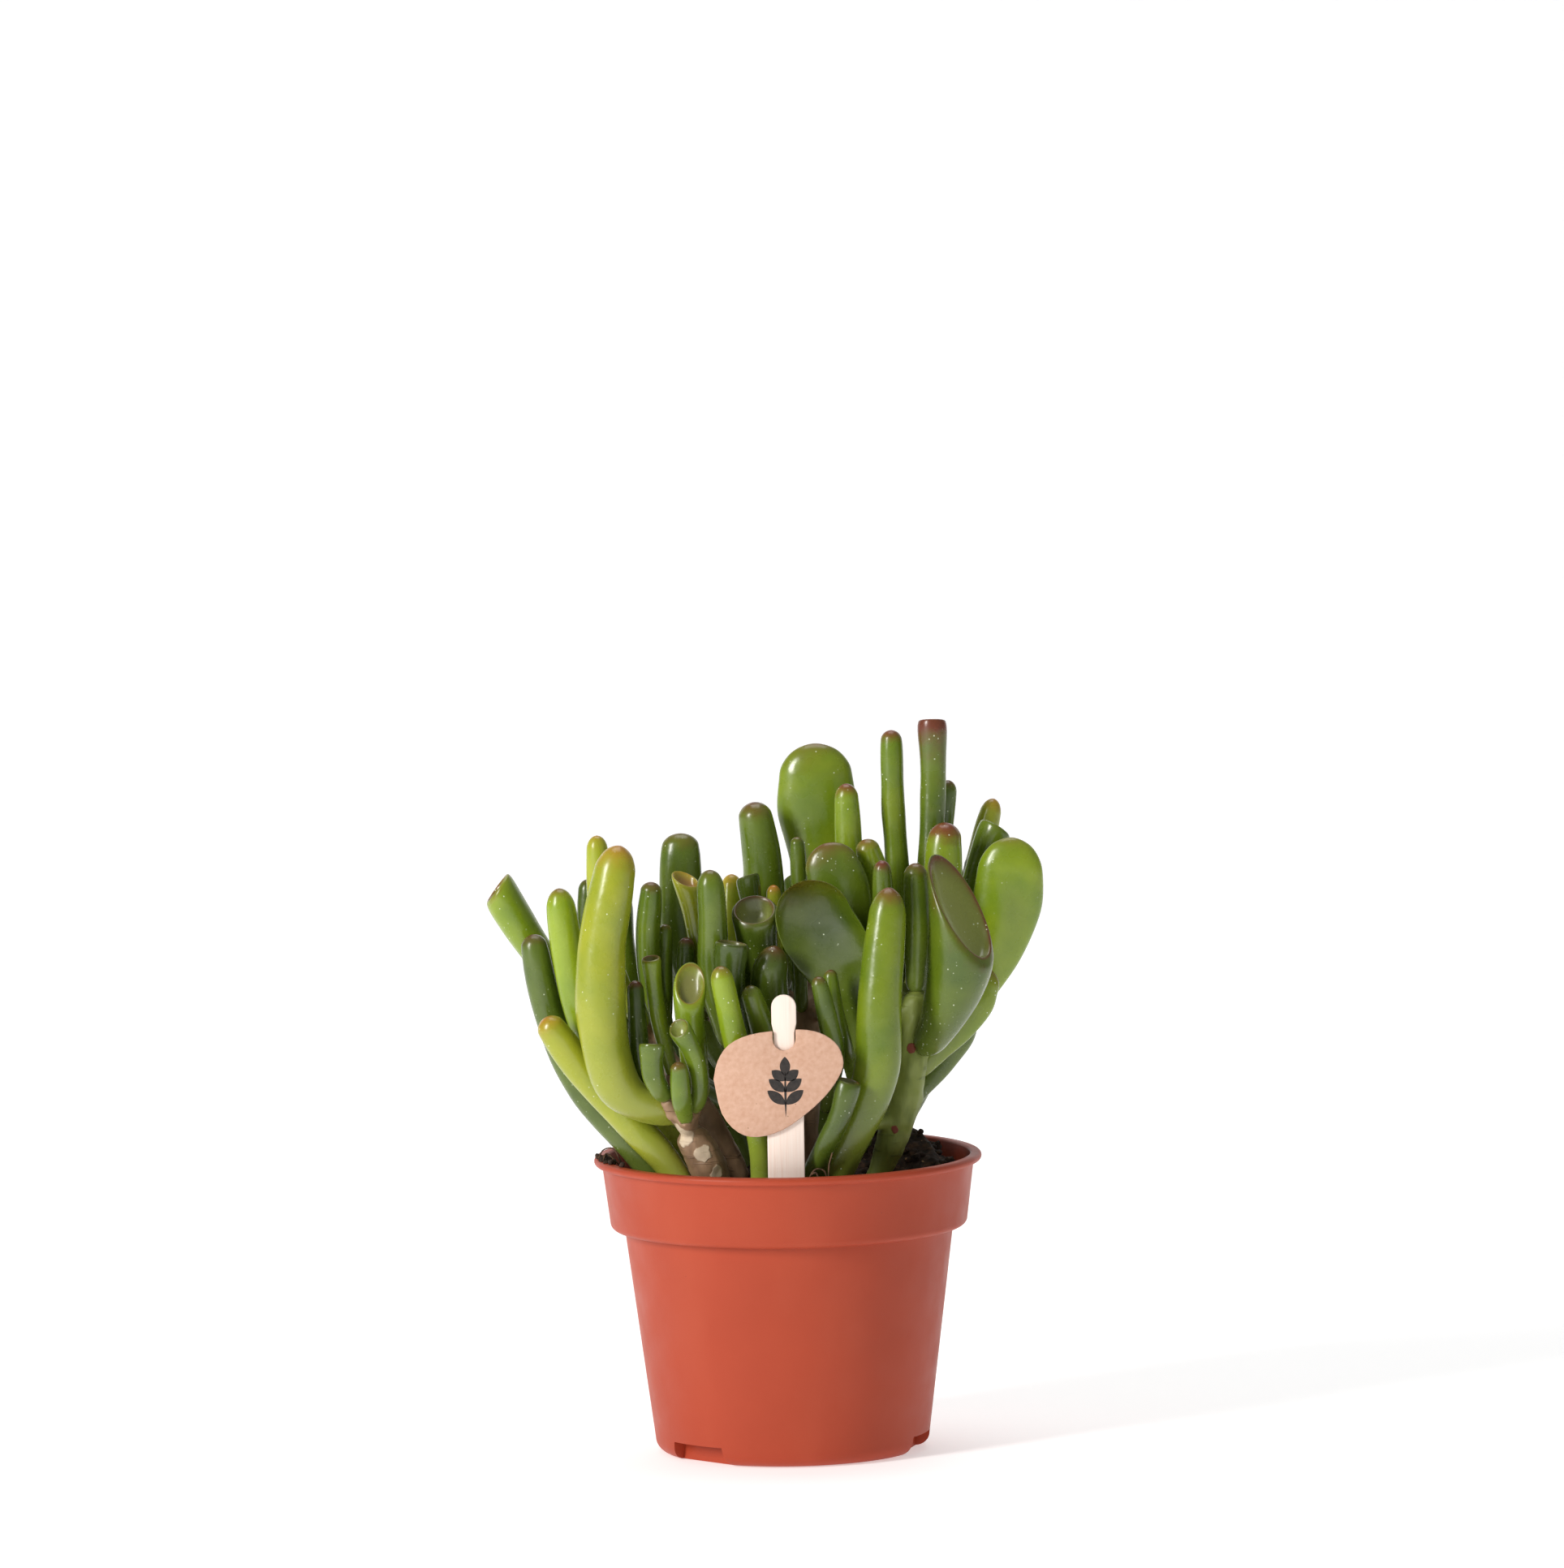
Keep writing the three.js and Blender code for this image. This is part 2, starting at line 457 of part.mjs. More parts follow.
function makeSoil(planted) {
  const skin = potInside(GAP).slice(1).toReversed();
  const edge = collarRadius - POT_WALL - GAP - COLLAR_FLARE * 0.4;
  const crown = [1, 0.82, 0.64, 0.46, 0.28, 0].map((share) => [edge * share, soilLine]);
  const geometry = lathe([...skin, ...crown], SOIL_SIDES);
  const place = geometry.attributes.position;
  const inner = edge * 0.9;
  for (let i = 0; i < place.count; i++) {
    const [x, y, z] = [place.getX(i), place.getY(i), place.getZ(i)];
    if (z > soilLine - 0.01 && Math.hypot(x, y) < inner) place.setZ(i, z + soilRise(x, y));
  }
  const body = solidOf(geometry).subtract(wasm.Manifold.union(nicheBlocks(POT_WALL + GAP)));
  return mainBody(body.subtract(wasm.Manifold.union(planted)));
}

// ---- Assembly ----
const toRim = (solid) => solid.translate([0, 0, POT_HEIGHT]);

// Leaves in order of growth: where one would press on the label or on an earlier leaf, it gives way.
function growLeaves(label) {
  const grown = [];
  for (const spec of LEAVES) {
    let solid = toRim(leafSolid(spec));
    for (const other of [...label, ...grown]) {
      if (solid.intersect(other.solid).volume() > 0) solid = mainBody(solid.subtract(other.room));
    }
    grown.push({ spec, solid, room: toRim(leafSolid(spec, GAP)) });
  }
  return grown;
}

// The stem whose middle line passes nearest to a point, with the place on it.
function nearestStem(point) {
  const places = STEMS.flatMap((spec) => {
    const line = curveOf(spec.path);
    return line.getSpacedPoints(30).map((at) => ({ spec, at, away: at.distanceTo(point) }));
  });
  return places.reduce((best, place) => (place.away < best.away ? place : best));
}

// A shoot from the nearest stem into the foot of each leaf that doesn't grow out of the soil, below the rim.
function shootsByStem() {
  const shoots = new Map(STEMS.map((spec) => [spec, []]));
  for (const spec of LEAVES) {
    const line = curveOf(spec.path);
    const foot = line.getPointAt(0);
    if (foot.z < 0) continue;
    const seat = line.getPointAt(SHOOT_SEAT / line.getLength());
    const start = nearestStem(foot);
    const middle = start.at.clone().lerp(foot, 0.6).add(new THREE.Vector3(0, 0, -0.1 * start.away));
    const path = [start.at, middle, foot, seat].map((at) => [...at]);
    shoots.get(start.spec).push(shoot(path));
  }
  return shoots;
}

// Stems with their shoots, each socketed round the leaves and clear of the stems before it.
function growStems(leaves) {
  const shoots = shootsByStem();
  const grown = [];
  for (const spec of STEMS) {
    const pieces = [spec, ...shoots.get(spec)];
    const branches = (grow) => wasm.Manifold.union(pieces.map((piece) => leafSolid(piece, grow)));
    const room = toRim(branches(GAP));
    const near = leaves.filter((leaf) => leaf.room.intersect(room).volume() > 0);
    const solid = [...near, ...grown].reduce((rest, other) => rest.subtract(other.room), toRim(branches(0)));
    grown.push({ spec, solid: mainBody(solid), room });
  }
  return grown;
}

const material = (color, roughness) => new THREE.MeshStandardMaterial({ color, roughness, metalness: 0 });
const plastic = material(0xb4492f, 0.45);
const peat = material(0x21160f, 1);
const wood = material(0xf1d9bd, 0.7);
const board = material(0xd9ab8b, 0.85);
const bark = material(0x9c7b55, 0.85);
const youngBark = material(0x5f7a35, 0.5);
const flesh = material(0x6f8f2e, 0.35);

const plant = new THREE.Group();
function add(name, solid, finish) {
  const mesh = new THREE.Mesh(geometryOf(solid), finish);
  mesh.name = name;
  plant.add(mesh);
}

const pick = { solid: makePick(), room: makePick(GAP) };
const card = { solid: makeCard(), room: makeCard(GAP) };
const leaves = growLeaves([pick, card]);
const stems = growStems(leaves);
add("pot", makePot(), plastic);
add("soil", makeSoil([...leaves, ...stems, pick].map((piece) => piece.room)), peat);
add("label_pick", pick.solid, wood);
add("label_card", card.solid, board);
for (const { spec, solid } of stems) add(spec.name, solid, spec.name.startsWith("right") ? youngBark : bark);
for (const { spec, solid } of leaves) add(spec.name, solid, flesh);

export default plant;
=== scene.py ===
"""Looks of a potted jade plant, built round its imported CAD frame.

Lengths are in metres unless a name says mm.
"""

from __future__ import annotations

import json
import logging
import math
import random
from collections.abc import Iterable
from dataclasses import dataclass, field
from enum import Enum

import bmesh
import bpy
import numpy as np
from mathutils import Matrix, Vector, noise
from mathutils.bvhtree import BVHTree

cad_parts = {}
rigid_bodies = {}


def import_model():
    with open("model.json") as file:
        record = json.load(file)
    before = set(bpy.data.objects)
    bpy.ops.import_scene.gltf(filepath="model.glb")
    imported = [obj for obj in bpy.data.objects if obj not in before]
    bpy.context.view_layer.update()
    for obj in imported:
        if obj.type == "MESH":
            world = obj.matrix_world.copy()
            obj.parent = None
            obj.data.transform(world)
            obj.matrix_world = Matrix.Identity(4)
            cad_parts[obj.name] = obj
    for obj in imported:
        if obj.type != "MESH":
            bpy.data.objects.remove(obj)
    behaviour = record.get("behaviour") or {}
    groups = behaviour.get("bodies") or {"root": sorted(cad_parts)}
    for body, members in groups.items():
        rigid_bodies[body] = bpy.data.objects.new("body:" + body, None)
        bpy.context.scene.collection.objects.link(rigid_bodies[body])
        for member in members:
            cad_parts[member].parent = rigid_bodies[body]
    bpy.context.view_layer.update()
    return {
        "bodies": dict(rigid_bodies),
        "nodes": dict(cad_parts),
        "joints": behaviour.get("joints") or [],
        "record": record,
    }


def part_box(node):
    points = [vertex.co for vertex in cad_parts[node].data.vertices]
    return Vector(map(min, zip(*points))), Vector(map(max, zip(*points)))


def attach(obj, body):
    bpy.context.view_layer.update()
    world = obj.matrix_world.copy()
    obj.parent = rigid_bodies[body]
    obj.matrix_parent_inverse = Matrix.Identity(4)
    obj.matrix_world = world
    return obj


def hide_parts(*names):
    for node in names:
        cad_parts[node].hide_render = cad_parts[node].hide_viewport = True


MM = 0.001
BODY = "root"
log = logging.getLogger("jade_plant")

Point = tuple[float, float, float]
Colour = tuple[float, float, float]


# ---------------------------------------------------------------------------
# Meshes
# ---------------------------------------------------------------------------


def srgb(red: int, green: int, blue: int) -> Colour:
    """A colour given in display values, 0 to 255, as linear light.

    Args:
        red: Red, 0 to 255.
        green: Green, 0 to 255.
        blue: Blue, 0 to 255.

    Returns:
        The three linear values, 0 to 1.
    """
    shares = (value / 255 for value in (red, green, blue))
    return tuple(c / 12.92 if c <= 0.04045 else ((c + 0.055) / 1.055) ** 2.4 for c in shares)


def make_object(name: str, points: Iterable, faces: Iterable, smooth: bool = True) -> bpy.types.Object:
    """A mesh object in the scene.

    Args:
        name: The piece's name.
        points: Corner positions.
        faces: Corner indices of each face.
        smooth: Whether the faces are shaded smooth.

    Returns:
        The new object.
    """
    mesh = bpy.data.meshes.new(name)
    mesh.from_pydata([tuple(map(float, p)) for p in points], [], [list(map(int, f)) for f in faces])
    mesh.validate()
    mesh.update()
    mesh.shade_smooth() if smooth else mesh.shade_flat()
    made = bpy.data.objects.new(name, mesh)
    bpy.context.scene.collection.objects.link(made)
    return made


def set_attribute(piece: bpy.types.Object, name: str, values: np.ndarray) -> None:
    """Stores one number for each corner of a mesh, for its material to read.

    Args:
        piece: The mesh object.
        name: The attribute's name.
        values: One value for each vertex.
    """
    layer = piece.data.attributes.new(name, "FLOAT", "POINT")
    layer.data.foreach_set("value", np.asarray(values, np.float32))


def apply_modifiers(piece: bpy.types.Object) -> bpy.types.Object:
    """Replaces an object's mesh by what its modifiers make of it.

    Args:
        piece: The mesh object.

    Returns:
        The same object, without modifiers.
    """
    graph = bpy.context.evaluated_depsgraph_get()
    finished = bpy.data.meshes.new_from_object(piece.evaluated_get(graph))
    piece.modifiers.clear()
    old = piece.data
    piece.data = finished
    bpy.data.meshes.remove(old)
    return piece


def finish_piece(
    piece: bpy.types.Object, material: bpy.types.Material, nodes: Iterable[str] = ()
) -> None:
    """Gives a piece its material, slot and body, and the CAD nodes that it stands for.

    Args:
        piece: The new piece.
        material: The finish.
        nodes: CAD nodes that the piece replaces.
    """
    piece.data.materials.clear()
    piece.data.materials.append(material)
    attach(piece, BODY)
    if nodes:
        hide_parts(*nodes)
    log.info("%s: %d faces", piece.name, len(piece.data.polygons))


def cad_surface(node: bpy.types.Object) -> tuple[np.ndarray, list[set[int]]]:
    """A CAD node's corners, welded, with each corner's neighbours.

    Args:
        node: The CAD node's object.

    Returns:
        The corner positions and, for each, the set of corners that an edge joins it to.
    """
    work = bmesh.new()
    work.from_mesh(node.data)
    bmesh.ops.remove_doubles(work, verts=work.verts, dist=2e-6)
    work.verts.ensure_lookup_table()
    points = np.array([v.co for v in work.verts], float)
    joined = [{e.other_vert(v).index for e in v.link_edges} for v in work.verts]
    work.free()
    return points, joined


# ---------------------------------------------------------------------------
# Leaves
# ---------------------------------------------------------------------------

LEAF_SIDES = 8
FINGER_GIRTH = ((0.0, 0.6), (0.2, 0.86), (0.46, 1.0), (0.74, 0.97), (1.0, 0.86))
CUP_GIRTH = ((0.0, 0.6), (0.2, 0.8), (0.48, 0.88), (0.76, 0.92), (1.0, 1.0))


@dataclass(frozen=True)
class Sprout:
    """A small leaf beyond those of the CAD model. Lengths are in millimetres.

    Attributes:
        name: The piece's name.
        slot: Its material slot.
        width: Greatest width.
        path: Points along its middle, from the foot to the tip.
        thick: Thickness as a share of the width.
        pointed: Length of the rounded tip in half widths.
        cup: Whether it ends in a hollow mouth.
        face: The way that its broad side looks.
        tilt: Slant of the mouth in degrees.
    """

    name: str
    slot: str
    width: float
    path: tuple[Point, ...]
    thick: float = 0.9
    pointed: float = 1.2
    cup: bool = False
    face: Point = (0.0, -1.0, 0.0)
    tilt: float = 0.0


SPROUTS = (
    Sprout(
        "left_sprout_1", "dark_leaf", 6.0,
        ((-33, -26, 105), (-38, -25, 110), (-42.5, -26, 115),
         (-45, -28, 125), (-45.5, -28, 138), (-46, -28, 150)),
    ),
    Sprout(
        "left_sprout_2", "green_leaf", 5.0,
        ((-37, -3, 124), (-37.5, -7, 132), (-37, -8, 140), (-37, -8, 150), (-36.5, -8, 165)),
    ),
    Sprout(
        "left_sprout_3", "dark_leaf", 6.0,
        ((-28, -9, 126), (-30, -13, 140), (-30.5, -14, 152), (-30, -14, 161.5)),
    ),
    Sprout(
        "left_sprout_4", "dark_leaf", 7.0,
        ((-43, 0, 126), (-54, 0, 142), (-60, 0, 160), (-60.5, 0, 178.5)), pointed=1.4,
    ),
    Sprout("centre_sprout_1", "bright_leaf", 5.0, ((-4, 0, 134), (-3, 1, 155), (-3, 2, 168), (-3, 2, 175.5))),
    Sprout("centre_sprout_2", "green_leaf", 5.3, ((5, 7, 136), (4.5, 6, 160), (5, 5, 175), (4.5, 5, 190))),
    Sprout(
        "right_sprout_1", "green_leaf", 7.0,
        ((42, 12, 137), (45, 20, 155), (48, 22.5, 176.5), (50, 23, 192), (52, 23, 205)), pointed=1.4,
    ),
    Sprout(
        "back_sprout_1", "green_leaf", 9.0,
        ((-19, 12, 118), (-24, 20, 130), (-27, 25, 150), (-28, 27, 170)), pointed=1.3,
    ),
    Sprout(
        "back_sprout_2", "bright_leaf", 8.0,
        ((-10, 10, 120), (-14, 20, 134), (-16, 27, 152), (-16, 31, 176)), pointed=1.4,
    ),
    Sprout(
        "back_sprout_3", "green_leaf", 8.0,
        ((-36, 6, 122), (-44, 14, 132), (-49, 19, 148), (-51, 21, 168)), cup=True, face=(-0.4, 1, 0), tilt=25,
    ),
    Sprout(
        "back_sprout_4", "green_leaf", 10.0,
        ((10, 16, 118), (8, 28, 130), (6, 34, 150), (5, 36, 172)), cup=True, face=(0, 1, 0), tilt=35,
    ),
    Sprout(
        "back_sprout_5", "dark_leaf", 8.5,
        ((22, 15, 120), (24, 26, 132), (25, 33, 152), (26, 36, 180)), pointed=1.3,
    ),
    Sprout(
        "back_sprout_6", "bright_leaf", 9.0,
        ((32, 14, 118), (37, 24, 128), (40, 30, 142), (40, 33, 158)), pointed=1.2,
    ),
    Sprout(
        "back_sprout_7", "green_leaf", 8.0,
        ((40, 14, 136), (52, 21, 146), (58, 24, 162), (60, 25, 182)), pointed=1.4,
    ),
    Sprout(
        "back_sprout_8", "dark_leaf", 8.0,
        ((-16, 8, 106), (-28, 20, 112), (-38, 28, 124), (-44, 32, 142)), pointed=1.2,
    ),
    Sprout(
        "back_sprout_9", "green_leaf", 9.5,
        ((-6, 10, 108), (-10, 28, 112), (-14, 40, 124), (-16, 46, 146)), pointed=1.2,
    ),
    Sprout(
        "right_sprout_2", "green_leaf", 5.3,
        ((21, -14, 116), (18.5, -25, 126), (16, -29, 135), (14.5, -29.5, 145), (14, -29.5, 152.5)),
    ),
)


@dataclass
class LeafGrid:
    """The rings of points that a CAD leaf is swept through, from its foot to its tip.

    Attributes:
        rings: Array of rings by sides by 3, with both closing points as rings of one repeated point.
    """

    rings: np.ndarray

    @classmethod
    def of_node(cls, node: bpy.types.Object) -> LeafGrid:
        """Reads the rings back from a CAD leaf's mesh.

        Args:
            node: The leaf's CAD object.

        Returns:
            Its grid.

        Raises:
            ValueError: If the mesh isn't a plain sweep.
        """
        points, joined = cad_surface(node)
        poles = [i for i, near in enumerate(joined) if len(near) == LEAF_SIDES]
        foot = min(poles, key=lambda i: points[i][2])
        layers = [[foot]]
        seen = {foot}
        while len(seen) < len(points):
            layer = {j for i in layers[-1] for j in joined[i]} - seen
            if not layer:
                raise ValueError(f"{node.name} is not one sweep")
            layers.append(sorted(layer))
            seen |= layer
        if any(len(layer) != LEAF_SIDES for layer in layers[1:-1]):
            raise ValueError(f"{node.name} is not one sweep: {[len(layer) for layer in layers]}")
        rings = [np.repeat(points[foot][None], LEAF_SIDES, 0)]
        for layer in layers[1:-1]:
            rings.append(cls._in_order(layer, points, joined, rings[-1]))
        rings.append(np.repeat(points[layers[-1][0]][None], LEAF_SIDES, 0))
        return cls(np.array(rings))

    @staticmethod
    def _in_order(
        layer: list[int], points: np.ndarray, joined: list[set[int]], before: np.ndarray
    ) -> np.ndarray:
        """One ring's points in turn, lined up with the ring before it.

        Args:
            layer: The ring's corner indices.
            points: All corners.
            joined: Each corner's neighbours.
            before: The ring before, in order.

        Returns:
            The ring's points in order.
        """
        members = set(layer)
        order = [layer[0]]
        while len(order) < len(layer):
            order.append(min((joined[order[-1]] & members) - set(order)))
        ring = points[order]
        if np.ptp(before, axis=0).max() < 1e-6:
            return ring
        here = ring - ring.mean(0)
        there = before - before.mean(0)
        turned = [np.roll(way, turn, 0) for way in (here, here[::-1]) for turn in range(LEAF_SIDES)]
        best = max(turned, key=lambda one: float((one * there).sum()))
        return best + ring.mean(0)

    @classmethod
    def of_sprout(cls, sprout: Sprout) -> LeafGrid:
        """Draws the rings of a leaf that has no CAD node.

        Args:
            sprout: The leaf's path and girth.

        Returns:
            Its grid.
        """
        line = smooth_line(np.array(sprout.path, float))
        lengths = np.concatenate([[0], np.cumsum(np.linalg.norm(np.diff(line, axis=0), axis=1))])
        half = sprout.width / 2
        if sprout.cup:
            rows = [(share, girth, share**2, 0.0) for share, girth in CUP_GIRTH]
            rows += [(1.0, 0.86, 1.0, 0.12), (1.0, 0.52, 1.0, -0.5), (1.0, 0.0, 1.0, -0.7)]
            reach = lengths[-1]
        else:
            rows = [(share, girth, 0.0, 0.0) for share, girth in FINGER_GIRTH]
            crown = FINGER_GIRTH[-1][1]
            for turn in (28, 58, 90):
                lean = math.radians(turn)
                rows.append((1.0, crown * math.cos(lean), 0.0, crown * sprout.pointed * math.sin(lean)))
            reach = lengths[-1] - crown * sprout.pointed * half
        turns = np.linspace(0, 2 * math.pi, LEAF_SIDES, endpoint=False)
        face = np.array(sprout.face, float)
        rings = []
        for share, girth, slant, above in [(0.0, 0.0, 0.0, -0.35), *rows]:
            at = share * reach
            centre = np.array([np.interp(at, lengths, line[:, axis]) for axis in range(3)])
            ahead = np.array([np.interp(at + 0.5, lengths, line[:, axis]) for axis in range(3)])
            behind = np.array([np.interp(at - 0.5, lengths, line[:, axis]) for axis in range(3)])
            along = (ahead - behind) / np.linalg.norm(ahead - behind)
            up = face - along * (face @ along)
            up /= np.linalg.norm(up)
            across = np.cross(along, up)
            x = -half * girth * np.cos(turns)
            y = half * sprout.thick * girth * np.sin(turns)
            lift = above * half - slant * math.tan(math.radians(sprout.tilt)) * y
            rings.append(centre + np.outer(x, across) + np.outer(y, up) + np.outer(lift, along))
        return cls(np.array(rings) * MM)

    def refined(self, around: int, steps: int) -> tuple[np.ndarray, np.ndarray]:
        """The smooth surface through the rings.

        Args:
            around: Points round each fine ring.
            steps: Fine rings between two rings of the grid.

        Returns:
            The fine rings, and for each the place along the grid, counted in rings.
        """
        turned = np.fft.rfft(self.rings, axis=1)
        wide = np.zeros((len(self.rings), around // 2 + 1, 3), complex)
        wide[:, : turned.shape[1]] = turned
        wide[:, LEAF_SIDES // 2] *= 0.5
        rings = np.fft.irfft(wide, around, axis=1) * (around / LEAF_SIDES)
        # A spline over the pole has to see the far side's ring, so that the tip comes out round.
        half = around // 2
        ends = [np.roll(rings[1], half, 0)], [np.roll(rings[-2], half, 0)]
        padded = np.concatenate([ends[0], rings, ends[1]])
        chords = np.linalg.norm(np.diff(padded, axis=0), axis=2).mean(1)
        knots = np.concatenate([[0], np.cumsum(np.sqrt(chords + 1e-9))])
        fine, places = [], []
        for i in range(1, len(padded) - 2):
            for step in range(steps):
                share = step / steps
                fine.append(catmull_rom(padded[i - 1 : i + 3], knots[i - 1 : i + 3], share))
                places.append(i - 1 + share)
        fine.append(padded[-2])
        places.append(len(rings) - 1.0)
        return np.array(fine), np.array(places)


def smooth_line(points: np.ndarray) -> np.ndarray:
    """A fine curve through a few points.

    Args:
        points: The points.

    Returns:
        Points closely spaced along the curve.
    """
    ends = 2 * points[0] - points[1], 2 * points[-1] - points[-2]
    padded = np.vstack([ends[0], points, ends[1]])
    steps = np.linalg.norm(np.diff(padded, axis=0), axis=1)
    knots = np.concatenate([[0], np.cumsum(np.sqrt(steps))])
    fine = [
        catmull_rom(padded[i - 1 : i + 3], knots[i - 1 : i + 3], step / 12)
        for i in range(1, len(padded) - 2)
        for step in range(12)
    ]
    return np.array([*fine, points[-1]])


def catmull_rom(four: np.ndarray, knots: np.ndarray, share: float) -> np.ndarray:
    """A point on the curve between the middle two of four points.

    Args:
        four: The four points.
        knots: Their knot values.
        share: How far along from the second to the third, 0 to 1.

    Returns:
        The point.
    """
    t = knots[1] + share * (knots[2] - knots[1])

    def mix(p: np.ndarray, q: np.ndarray, low: float, high: float) -> np.ndarray:
        """Linear blend of two points at the knot value t."""
        return p + (q - p) * ((t - low) / (high - low))

    a = [mix(four[i], four[i + 1], knots[i], knots[i + 1]) for i in range(3)]
    b = [mix(a[i], a[i + 1], knots[i], knots[i + 2]) for i in range(2)]
    return mix(b[0], b[1], knots[1], knots[2])


# ---------------------------------------------------------------------------
# Finishes
# ---------------------------------------------------------------------------


class Sheet:
    """A material's node sheet, with short calls for the nodes that the finishes share."""

    def __init__(self, name: str) -> None:
        """Starts an empty sheet.

        Args:
            name: The material's name.
        """
        self.material = bpy.data.materials.new(name)
        self.material.use_nodes = True
        self.tree = self.material.node_tree
        self.shader = self.tree.nodes["Principled BSDF"]
        self.place = self.node("ShaderNodeTexCoord").outputs["Object"]

    def node(self, kind: str, **settings: object) -> bpy.types.Node:
        """Adds a node.

        Args:
            kind: Its type.
            settings: Properties to set on it.

        Returns:
            The node.
        """
        made = self.tree.nodes.new(kind)
        for key, value in settings.items():
            setattr(made, key, value)
        return made

    def wire(self, source: object, target: object) -> None:
        """Joins an output, or a plain value, to an input.

        Args:
            source: An output socket, a number or a colour.
            target: The input socket.
        """
        if isinstance(source, bpy.types.NodeSocket):
            self.tree.links.new(source, target)
        elif isinstance(source, tuple) and len(source) == 3 and len(target.default_value) == 4:
            target.default_value = (*source, 1.0)
        else:
            target.default_value = source

    def maths(self, operation: str, first: object, second: object = 0.0) -> bpy.types.NodeSocket:
        """A sum of two values.

        Args:
            operation: The maths node's operation.
            first: The first value.
            second: The second value.

        Returns:
            The result.
        """
        made = self.node("ShaderNodeMath", operation=operation)
        self.wire(first, made.inputs[0])
        self.wire(second, made.inputs[1])
        return made.outputs[0]

    def attribute(self, name: str) -> bpy.types.NodeSocket:
        """A number stored on the mesh's corners.

        Args:
            name: The attribute.

        Returns:
            Its value.
        """
        return self.node("ShaderNodeAttribute", attribute_name=name).outputs["Fac"]

    def noise(self, size_mm: float, detail: float = 3.0, stretch: Point = (1, 1, 1)) -> bpy.types.NodeSocket:
        """Cloudy noise, from 0 to 1.

        Args:
            size_mm: The size of its largest patches.
            detail: Octaves.
            stretch: Share of the size along each axis.

        Returns:
            The noise.
        """
        scaled = self.node("ShaderNodeMapping")
        self.wire(self.place, scaled.inputs["Vector"])
        scaled.inputs["Scale"].default_value = [1000 / size_mm / s for s in stretch]
        made = self.node("ShaderNodeTexNoise")
        made.inputs["Scale"].default_value = 1.0
        made.inputs["Detail"].default_value = detail
        self.wire(scaled.outputs[0], made.inputs["Vector"])
        return made.outputs["Fac"]

    def specks(self, size_mm: float, radius: float, share: float) -> bpy.types.NodeSocket:
        """Small round dots, 1 on a dot and 0 off it.

        Args:
            size_mm: Distance between neighbouring dots.
            radius: A dot's radius as a share of that.
            share: Share of the places that hold a dot.

        Returns:
            The dots.
        """
        cells = self.node("ShaderNodeTexVoronoi")
        cells.inputs["Scale"].default_value = 1000 / size_mm
        self.wire(self.place, cells.inputs["Vector"])
        dot = self.ramp(cells.outputs["Distance"], [(radius * 0.6, 1.0), (radius, 0.0)])
        pick = self.node("ShaderNodeSeparateColor")
        self.wire(cells.outputs["Color"], pick.inputs[0])
        held = self.maths("LESS_THAN", pick.outputs[0], share)
        return self.maths("MULTIPLY", dot, held)

    def ramp(
        self, value: object, stops: list[tuple[float, object]], smooth: bool = False
    ) -> bpy.types.NodeSocket:
        """Maps a value through a colour ramp.

        Args:
            value: The value.
            stops: Pairs of place and value or colour.
            smooth: Whether it eases between the stops.

        Returns:
            The ramp's colour.
        """
        made = self.node("ShaderNodeValToRGB")
        made.color_ramp.interpolation = "EASE" if smooth else "LINEAR"
        bands = made.color_ramp.elements
        while len(bands) < len(stops):
            bands.new(0.5)
        for band, (place, shade) in zip(bands, stops):
            band.position = place
            band.color = (*shade, 1.0) if isinstance(shade, tuple) else (shade, shade, shade, 1.0)
        self.wire(value, made.inputs[0])
        return made.outputs[0]

    def mix(self, share: object, first: object, second: object, blend: str = "MIX") -> bpy.types.NodeSocket:
        """Mixes two colours.

        Args:
            share: How much of the second.
            first: The first colour.
            second: The second colour.
            blend: The blend type.

        Returns:
            The colour.
        """
        made = self.node("ShaderNodeMix", data_type="RGBA", blend_type=blend)
        self.wire(share, made.inputs[0])
        self.wire(first, made.inputs[6])
        self.wire(second, made.inputs[7])
        return made.outputs[2]

    def bump(self, height: object, depth_mm: float, strength: float = 1.0, before: object = None) -> object:
        """Bumps the surface.

        Args:
            height: The height, 0 to 1.
            depth_mm: What 1 stands for.
            strength: The node's strength.
            before: A normal to add to.

        Returns:
            The normal.
        """
        made = self.node("ShaderNodeBump")
        made.inputs["Distance"].default_value = depth_mm * MM
        made.inputs["Strength"].default_value = strength
        self.wire(height, made.inputs["Height"])
        if before is not None:
            self.wire(before, made.inputs["Normal"])
        return made.outputs[0]

    def done(
        self, colour: object, roughness: object, normal: object = None, **sockets: object
    ) -> bpy.types.Material:
        """Wires the shader up.

        Args:
            colour: Base colour.
            roughness: Roughness.
            normal: Bumped normal.
            sockets: Further shader inputs by name, with underscores for spaces.

        Returns:
            The material.
        """
        self.wire(colour, self.shader.inputs["Base Color"])
        self.wire(roughness, self.shader.inputs["Roughness"])
        if normal is not None:
            self.wire(normal, self.shader.inputs["Normal"])
        for key, value in sockets.items():
            self.wire(value, self.shader.inputs[key.replace("_", " ")])
        return self.material


